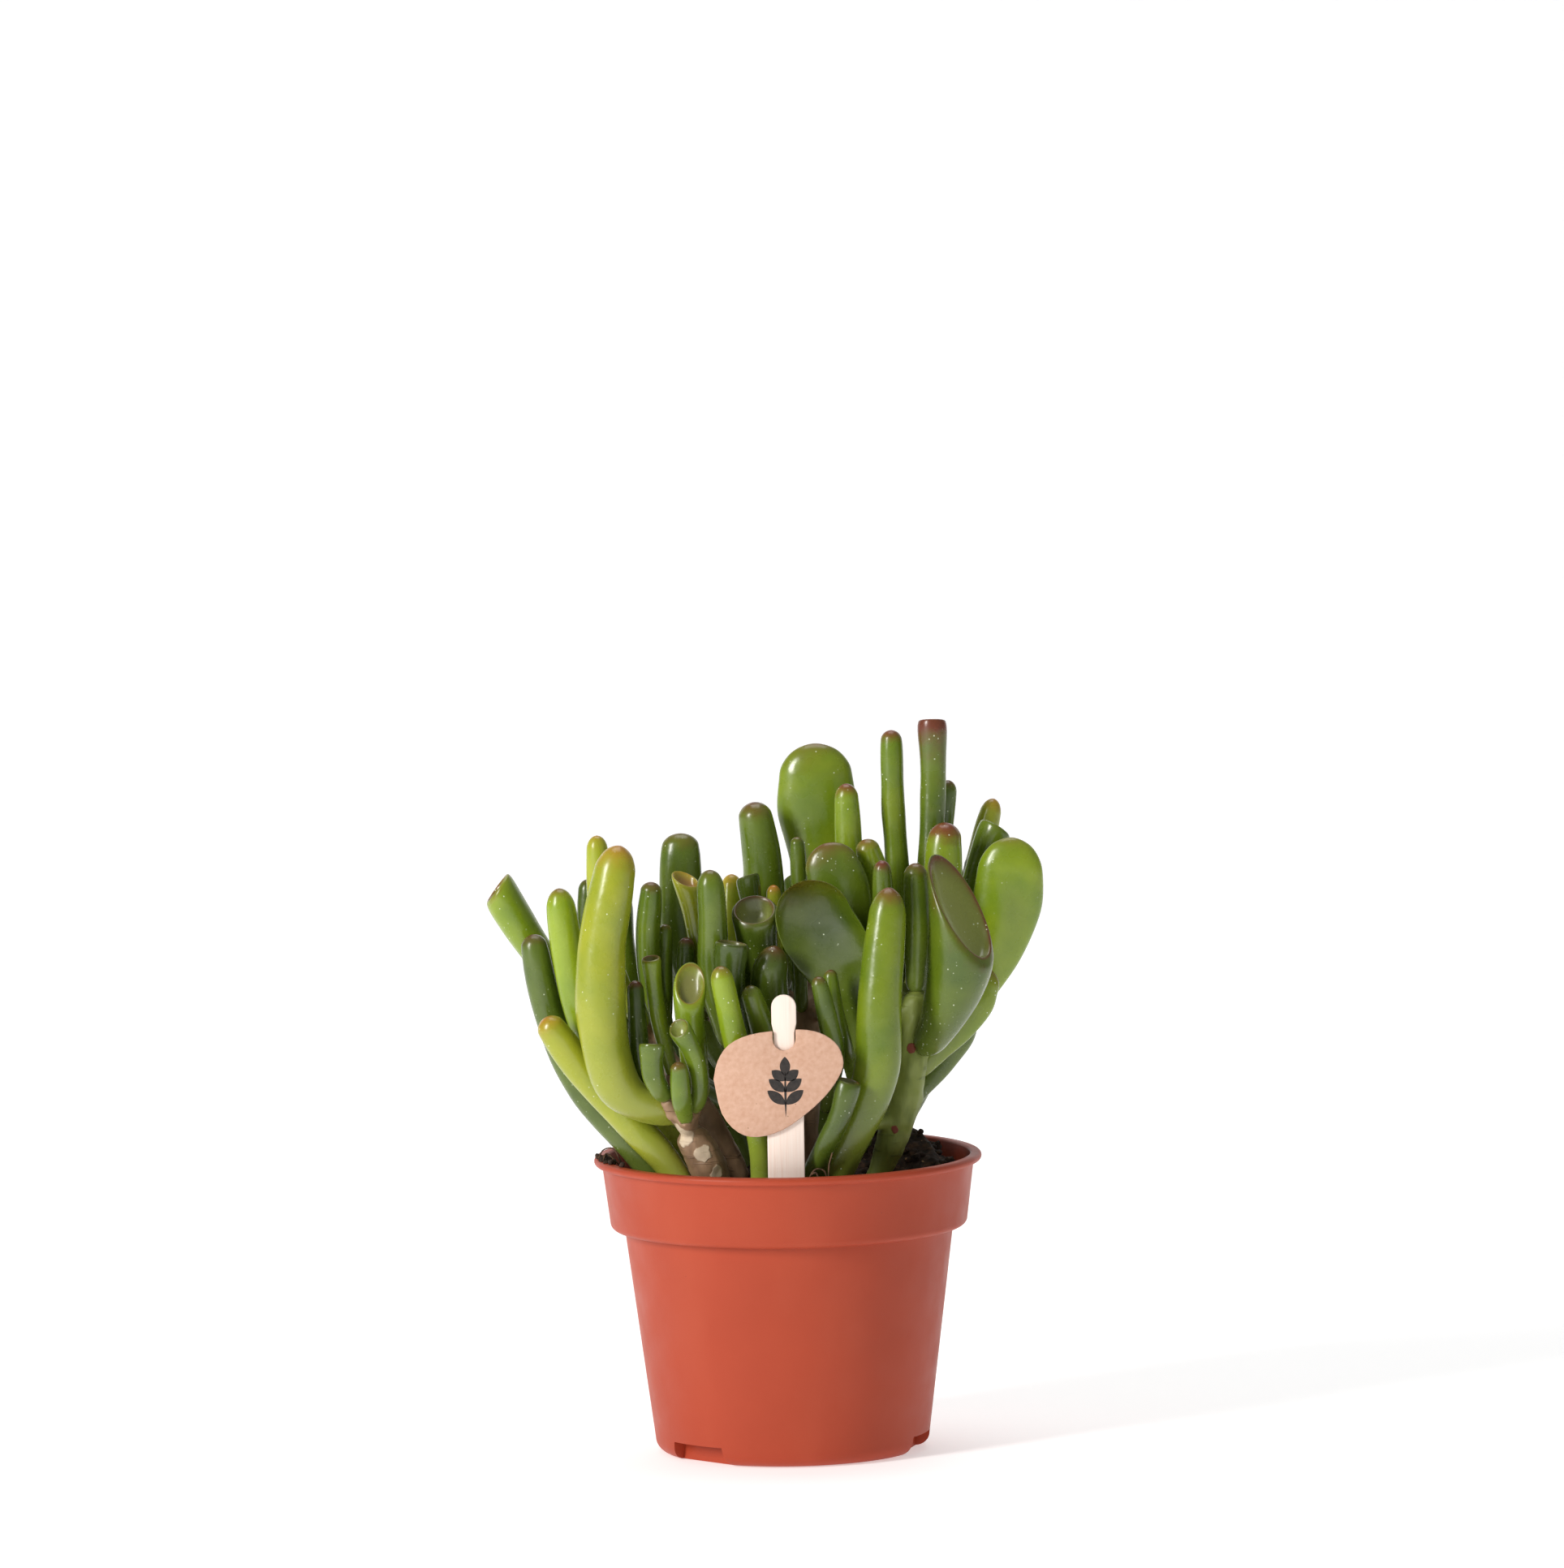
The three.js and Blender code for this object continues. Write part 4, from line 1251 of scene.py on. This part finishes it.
@dataclass
class NurseryPot:
    """The moulded pot. Sizes are in millimetres; the rim's size and the height come from the CAD.

    Attributes:
        wall: Wall thickness.
        lip: Height of the rolled lip.
        overhang: How far the lip stands out of the collar.
        collar: Height of the collar, lip included.
        flare: The collar's outward lean.
        step_corner: Rounding of the collar's lower edge.
        wall_top: Radius of the wall under the collar.
        corner: Rounding at the base.
        foot: Radius of the foot ring.
        ring: Width of the foot ring.
        pad: Radius of the pad in the middle of the base.
        floor_raise: Height of the floor's underside between pad and ring.
        floor_top: Height of the floor inside.
        mouth_corner: Rounding of the mouth's inner edge.
        sides: Points round it.
        niche_width: Width of a drainage niche.
        niche_height: Its height.
        niche_depth: How far it reaches in.
        niche_turns: Where the niches are, in degrees round from the front, towards +X.
    """

    wall: float = 1.2
    lip: float = 2.4
    overhang: float = 2.4
    collar: float = 22.4
    flare: float = 2.3
    step_corner: float = 2.1
    wall_top: float = 50.9
    corner: float = 4.5
    foot: float = 38.0
    ring: float = 5.0
    pad: float = 12.0
    floor_raise: float = 1.5
    floor_top: float = 3.1
    mouth_corner: float = 0.8
    sides: int = 240
    niche_width: float = 20.5
    niche_height: float = 5.8
    niche_depth: float = 6.0
    niche_turns: tuple[float, ...] = (-45.0, 75.0, 195.0)

    def bore(self, height: float) -> float:
        """The pot's inner radius.

        Args:
            height: Height above the surface.

        Returns:
            The radius there.
        """
        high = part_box("pot")[1]
        neck = high.x / MM - self.overhang - self.wall
        step = high.z / MM - self.collar
        heights = [self.corner, step, step + self.step_corner, high.z / MM]
        radii = [self.foot + self.corner - self.wall, self.wall_top - self.wall, neck - self.flare, neck]
        return float(np.interp(height, heights, radii))

    def plug_side(self, floor: float) -> list[tuple[float, float]]:
        """The soil's side and underside, which follow the wall and clear the niches' linings.

        Args:
            floor: Height of the soil's underside.

        Returns:
            Points of radius and height, from the collar down to the floor.
        """
        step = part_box("pot")[1].z / MM - self.collar
        roof = self.niche_height + self.wall + 0.6
        inmost = self.foot + self.corner - self.niche_depth - self.wall - 0.6
        side = [(self.bore(z) - 0.3, z) for z in (step + self.step_corner + 1, step - 0.5, roof + 0.4)]
        return [*side, (inmost, roof), (inmost, floor)]

    def outline(self, radius: float, height: float) -> list[tuple[float, float]]:
        """The outside, from the base's centre up to the rim and in to the axis.

        Args:
            radius: Outside of the lip.
            height: Top of the lip.

        Returns:
            Points of radius and height.
        """
        step = height - self.collar
        neck = radius - self.overhang
        low = neck - self.flare
        inmost = self.foot - self.ring
        points = [(0.0, 0.0), (self.pad, 0.0), (self.pad + self.floor_raise, self.floor_raise)]
        points += [(inmost - self.floor_raise, self.floor_raise), (inmost - 0.4, 1.1), (inmost, 0.0)]
        points += arc(self.foot, self.corner, self.corner, -90, 0, 8)
        points += [(self.wall_top - 0.15, step - 0.9), (self.wall_top, step - 0.25)]
        points += arc(low - self.step_corner, step + self.step_corner, self.step_corner, -90, 0, 8)
        points += [(neck - 0.1, height - self.lip - 0.5), (neck + 0.15, height - self.lip - 0.1)]
        points += arc(radius - self.lip / 2, height - self.lip / 2, self.lip / 2, -80, 90, 10)
        return [*points, (neck - self.wall - 2, height), (0.0, height)]

    def cavity(self, radius: float, height: float) -> list[tuple[float, float]]:
        """The hollow, from the floor's centre up past the rim and in to the axis.

        Args:
            radius: Outside of the lip.
            height: Top of the lip.

        Returns:
            Points of radius and height.
        """
        step = height - self.collar
        inner = radius - self.overhang - self.wall
        points = [(0.0, self.floor_top), (self.foot + 1, self.floor_top)]
        points += [(self.foot + self.corner - self.wall, self.corner)]
        points += [(self.wall_top - self.wall, step), (inner - self.flare, step + self.step_corner)]
        ease = self.mouth_corner
        points += [
            (inner + ease - ease * math.cos(t), height - ease + ease * math.sin(t))
            for t in np.linspace(0, 1.4, 5)
        ]
        return [*points, (inner + ease, height + 1), (0.0, height + 1)]

    def turned(self, name: str, section: list[tuple[float, float]]) -> bpy.types.Object:
        """A solid of revolution.

        Args:
            name: Its name.
            section: Points of radius and height, from the axis round to the axis.

        Returns:
            The solid.
        """
        inner = section[1:-1]
        turns = [2 * math.pi * j / self.sides for j in range(self.sides)]
        walls = [(r * math.cos(t), r * math.sin(t), z) for r, z in inner for t in turns]
        points = [Vector(p) * MM for p in ((0, 0, section[0][1]), *walls, (0, 0, section[-1][1]))]
        last = len(points) - 1
        faces = []
        for j in range(self.sides):
            k = (j + 1) % self.sides
            faces.append((0, 1 + k, 1 + j))
            faces.append((last, last - self.sides + j, last - self.sides + k))
            for i in range(len(inner) - 1):
                base = 1 + i * self.sides
                faces.append((base + j, base + k, base + self.sides + k, base + self.sides + j))
        return make_object(name, points, faces)

    def finish(self) -> bpy.types.Material:
        """Satin terracotta-coloured plastic.

        Returns:
            The material.
        """
        sheet = Sheet("satin_pot_plastic")
        clouds = sheet.noise(45, 3)
        colour = sheet.mix(sheet.ramp(clouds, [(0.3, 0.0), (0.7, 1.0)]), srgb(168, 66, 41), srgb(176, 71, 45))
        smears = sheet.ramp(sheet.noise(22, 5, (1, 1, 2.5)), [(0.5, 0.0), (0.75, 0.3)])
        colour = sheet.mix(smears, colour, srgb(182, 82, 56))
        dust = sheet.specks(4.0, 0.07, 0.1)
        colour = sheet.mix(sheet.maths("MULTIPLY", dust, 0.5), colour, srgb(120, 60, 44))
        grain = sheet.bump(sheet.noise(0.7, 2), 0.04, 0.5)
        normal = sheet.bump(sheet.noise(18, 2), 0.5, 0.12, grain)
        gloss = sheet.ramp(sheet.noise(9, 4), [(0.3, 0.4), (0.7, 0.52)])
        return sheet.done(colour, gloss, normal, Specular_IOR_Level=0.24)

    def build(self) -> None:
        """Builds the pot in place of its CAD node."""
        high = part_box("pot")[1] / MM
        pot = self.turned("nursery_pot", self.outline(high.x, high.z))
        hollow = self.turned("hollow", self.cavity(high.x, high.z))
        for turn in self.niche_turns:
            self.cut(hollow, self.niche_block(turn, self.wall))
        self.cut(pot, hollow)
        for turn in self.niche_turns:
            self.cut(pot, self.niche_block(turn, 0.0))
        pot.data.shade_smooth()
        crisp = pot.modifiers.new("crisp", "EDGE_SPLIT")
        crisp.split_angle = math.radians(38)
        finish_piece(pot, self.finish(), ["pot"])

    def niche_block(self, turn: float, margin: float) -> bpy.types.Object:
        """The block that one drainage niche is cut with, slanted at its ends.

        Args:
            turn: Degrees round from the front, towards +X.
            margin: How much bigger it is on the sides that face the soil.

        Returns:
            The block.
        """
        outer = self.foot + self.corner
        half = self.niche_width / 2 + margin
        near, far = -(outer + 4), -(outer - self.niche_depth - margin)
        corners = [
            (side * (half + slant), y, z)
            for z, slant in ((-1.0, 1.2), (self.niche_height + margin, 0.0))
            for y in (near, far)
            for side in (-1, 1)
        ]
        faces = [(0, 2, 3, 1), (4, 5, 7, 6), (0, 1, 5, 4), (2, 6, 7, 3), (0, 4, 6, 2), (1, 3, 7, 5)]
        around = Matrix.Rotation(math.radians(turn), 4, "Z")
        return make_object("block", [around @ (Vector(c) * MM) for c in corners], faces, smooth=False)

    @staticmethod
    def cut(piece: bpy.types.Object, tool: bpy.types.Object) -> None:
        """Cuts one solid by another, and removes the tool.

        Args:
            piece: The solid that is cut.
            tool: The solid that is taken away.
        """
        bpy.context.view_layer.update()
        difference = piece.modifiers.new("cut", "BOOLEAN")
        difference.operation = "DIFFERENCE"
        difference.solver = "EXACT"
        difference.object = tool
        apply_modifiers(piece)
        bpy.data.objects.remove(tool)


def arc(x: float, y: float, radius: float, start: float, end: float, steps: int) -> list[tuple[float, float]]:
    """Points of a rounded corner.

    Args:
        x: Centre.
        y: Centre.
        radius: Radius.
        start: First angle in degrees.
        end: Last angle in degrees.
        steps: Number of steps.

    Returns:
        The points.
    """
    turns = [math.radians(start + (end - start) * i / steps) for i in range(steps + 1)]
    return [(x + radius * math.cos(t), y + radius * math.sin(t)) for t in turns]


@dataclass
class Label:
    """The wooden pick and the card on it: the CAD plates with softened edges, and a printed sprig.

    Attributes:
        edge_mm: Rounding of the plates' edges.
    """

    edge_mm: float = 0.3

    def wood(self) -> bpy.types.Material:
        """Bare pale birch.

        Returns:
            The material.
        """
        sheet = Sheet("pale_birch")
        grain = sheet.noise(5, 5, (0.12, 1, 4.0))
        pale, warm, dark = srgb(255, 240, 228), srgb(252, 232, 218), srgb(240, 214, 196)
        colour = sheet.ramp(grain, [(0.3, pale), (0.6, warm), (0.78, dark)])
        return sheet.done(colour, 0.6, sheet.bump(grain, 0.12, 0.5))

    def board(self) -> bpy.types.Material:
        """Uncoated kraft board.

        Returns:
            The material.
        """
        sheet = Sheet("kraft_board")
        fibre = sheet.noise(1.4, 5)
        colour = sheet.ramp(fibre, [(0.3, srgb(205, 160, 134)), (0.7, srgb(218, 178, 154))])
        colour = sheet.mix(sheet.specks(2.4, 0.12, 0.2), colour, srgb(180, 138, 112))
        return sheet.done(colour, 0.85, sheet.bump(fibre, 0.08, 0.6))

    def ink(self) -> bpy.types.Material:
        """Dark printing ink.

        Returns:
            The material.
        """
        sheet = Sheet("dark_ink")
        patchy = sheet.noise(1.0, 4)
        colour = sheet.ramp(patchy, [(0.3, srgb(36, 32, 30)), (0.75, srgb(58, 50, 46))])
        return sheet.done(colour, 0.7, sheet.bump(patchy, 0.02, 0.5))

    def plate(self, node: bpy.types.Object, name: str, material: bpy.types.Material) -> None:
        """A CAD plate with its edges rounded.

        Args:
            node: The CAD object.
            name: The piece's name.
            material: Its finish.
        """
        made = copy_of(node, name)
        work = bmesh.new()
        work.from_mesh(made.data)
        bmesh.ops.remove_doubles(work, verts=work.verts, dist=2e-6)
        bmesh.ops.dissolve_limit(work, angle_limit=math.radians(1), verts=work.verts, edges=work.edges)
        work.to_mesh(made.data)
        work.free()
        bevel = made.modifiers.new("edge", "BEVEL")
        bevel.width = self.edge_mm * MM
        bevel.segments = 3
        bevel.limit_method = "ANGLE"
        bevel.angle_limit = math.radians(50)
        apply_modifiers(made)
        made.data.shade_smooth()
        split = made.modifiers.new("crisp", "EDGE_SPLIT")
        split.split_angle = math.radians(40)
        finish_piece(made, material, [node.name])

    def sprig(self, material: bpy.types.Material) -> None:
        """A plain sprig of paired leaves, printed on the card.

        Args:
            material: The ink.
        """
        low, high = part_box("label_card")
        centre = Vector(((low.x + high.x) / 2 + 2 * MM, low.y - 0.02 * MM, (low.z + high.z) / 2 - 1.0 * MM))
        points, faces = [], []

        def petal(x: float, z: float, length: float, width: float, turn: float) -> None:
            """Adds one flat leaf that grows from a point.

            Args:
                x: Place across.
                z: Place in height.
                length: Its length.
                width: Half its width.
                turn: Degrees that it leans from upright.
            """
            first = len(points)
            lean = math.radians(turn)
            for side in (1, -1):
                for i in range(13):
                    share = i / 12 if side == 1 else 1 - i / 12
                    out = side * width * math.sin(math.pi * share) ** 0.8
                    up = length * share
                    px = x + out * math.cos(lean) + up * math.sin(lean)
                    pz = z - out * math.sin(lean) + up * math.cos(lean)
                    points.append(centre + Vector((px, 0, pz)) * MM)
            faces.append(tuple(range(first, len(points))))

        petal(0, -9.5, 14.5, 0.35, 0)
        petal(0, 3.2, 6.0, 1.6, 0)
        for height, length in ((-5.5, 7.0), (-1.6, 6.4), (1.8, 5.2)):
            for side in (-1, 1):
                petal(0, height, length, 1.6, side * 52)
        print_ = make_object("card_sprig", points, faces, smooth=False)
        thick = print_.modifiers.new("thick", "SOLIDIFY")
        thick.thickness = 0.03 * MM
        thick.offset = 0
        apply_modifiers(print_)
        finish_piece(print_, material)

    def build(self, frame: dict) -> None:
        """Builds the pick, the card and its print.
        """
        self.plate(frame["nodes"]["label_pick"], "birch_pick", self.wood())
        self.plate(frame["nodes"]["label_card"], "kraft_card", self.board())
        self.sprig(self.ink())


# ---------------------------------------------------------------------------
# Studio
# ---------------------------------------------------------------------------


@dataclass
class Studio:
    """Camera, soft lights and a pale floor.

    Attributes:
        distance: From the camera to its target.
        pitch: Degrees that it looks down.
        roll: Degrees that it leans.
        lens: Focal length in millimetres on a 36 mm sensor.
        target_height: Height of the point that it looks at.
    """

    distance: float = 4.0
    pitch: float = 5.75
    roll: float = 1.0
    lens: float = 297.5
    target_height: float = 0.207

    def camera(self) -> None:
        """Sets up the camera."""
        data = bpy.data.cameras.new("camera")
        data.lens = self.lens
        data.sensor_width = 36
        data.clip_start, data.clip_end = 0.1, 50
        camera = bpy.data.objects.new("camera", data)
        bpy.context.scene.collection.objects.link(camera)
        lean = math.radians(self.pitch)
        target = Vector((0.0002, 0, self.target_height))
        back = Vector((0, -math.cos(lean), math.sin(lean)))
        camera.rotation_mode = "QUATERNION"
        camera.location = target + back * self.distance
        level = (-back).to_track_quat("-Z", "Y")
        camera.rotation_quaternion = level @ Matrix.Rotation(math.radians(-self.roll), 3, "Z").to_quaternion()
        bpy.context.scene.camera = camera

    def light(
        self, name: str, place: Point, target: Point, size: tuple[float, float], power: float, colour: Colour
    ) -> None:
        """Adds a soft light.

        Args:
            name: Its name.
            place: Its place.
            target: The point that it faces.
            size: Its width and height.
            power: Watts.
            colour: Its colour.
        """
        data = bpy.data.lights.new(name, "AREA")
        data.shape = "RECTANGLE"
        data.size, data.size_y = size
        data.energy = power
        data.color = colour
        lamp = bpy.data.objects.new(name, data)
        bpy.context.scene.collection.objects.link(lamp)
        lamp.location = place
        lamp.rotation_mode = "QUATERNION"
        lamp.rotation_quaternion = (Vector(target) - Vector(place)).to_track_quat("-Z", "Y")

    def floor(self) -> None:
        """A pale floor that curves up into a backdrop."""
        deep, high, bend = 3.0, 3.0, 1.2
        turns = np.linspace(0, math.pi / 2, 17)
        line = [(deep - bend + bend * math.sin(t), bend - bend * math.cos(t)) for t in turns]
        line = [(-deep, 0.0), *line, (deep, high)]
        points = [(x, y, z - 0.0002) for x in (-4.0, 4.0) for y, z in line]
        count = len(line)
        faces = [(i, i + count, i + count + 1, i + 1) for i in range(count - 1)]
        floor = make_object("studio_floor", points, faces)
        sheet = Sheet("pale_floor")
        floor.data.materials.append(
            sheet.done(
                (0.9, 0.9, 0.9), 0.9, None,
                Specular_IOR_Level=0.1, Emission_Color=(1.0, 1.0, 1.0), Emission_Strength=0.45,
            )
        )

    def build(self) -> None:
        """Builds the studio."""
        self.camera()
        self.floor()
        self.light("key", (-1.8, -1.6, 1.1), (0, 0, 0.12), (0.45, 1.1), 52, (1.0, 0.98, 0.95))
        self.light("top", (0.0, 0.4, 2.0), (0, 0, 0.1), (1.2, 1.2), 11, (1.0, 1.0, 1.0))
        world = bpy.data.worlds.new("studio_world")
        world.use_nodes = True
        world.node_tree.nodes["Background"].inputs["Color"].default_value = (1.0, 1.0, 1.0, 1.0)
        world.node_tree.nodes["Background"].inputs["Strength"].default_value = 0.25
        bpy.context.scene.world = world
        bpy.context.scene.view_settings.view_transform = "Standard"


def main() -> None:
    """Builds the plant, its pot and its label, and the studio round them."""
    logging.basicConfig(level=logging.INFO, format="%(message)s")
    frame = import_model()
    Studio().build()
    pot = NurseryPot()
    pot.build()
    Peat(pot).build(frame)
    Stems().build(frame)
    Foliage().build(frame)
    Label().build(frame)
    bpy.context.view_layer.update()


if __name__ == "__main__":
    main()
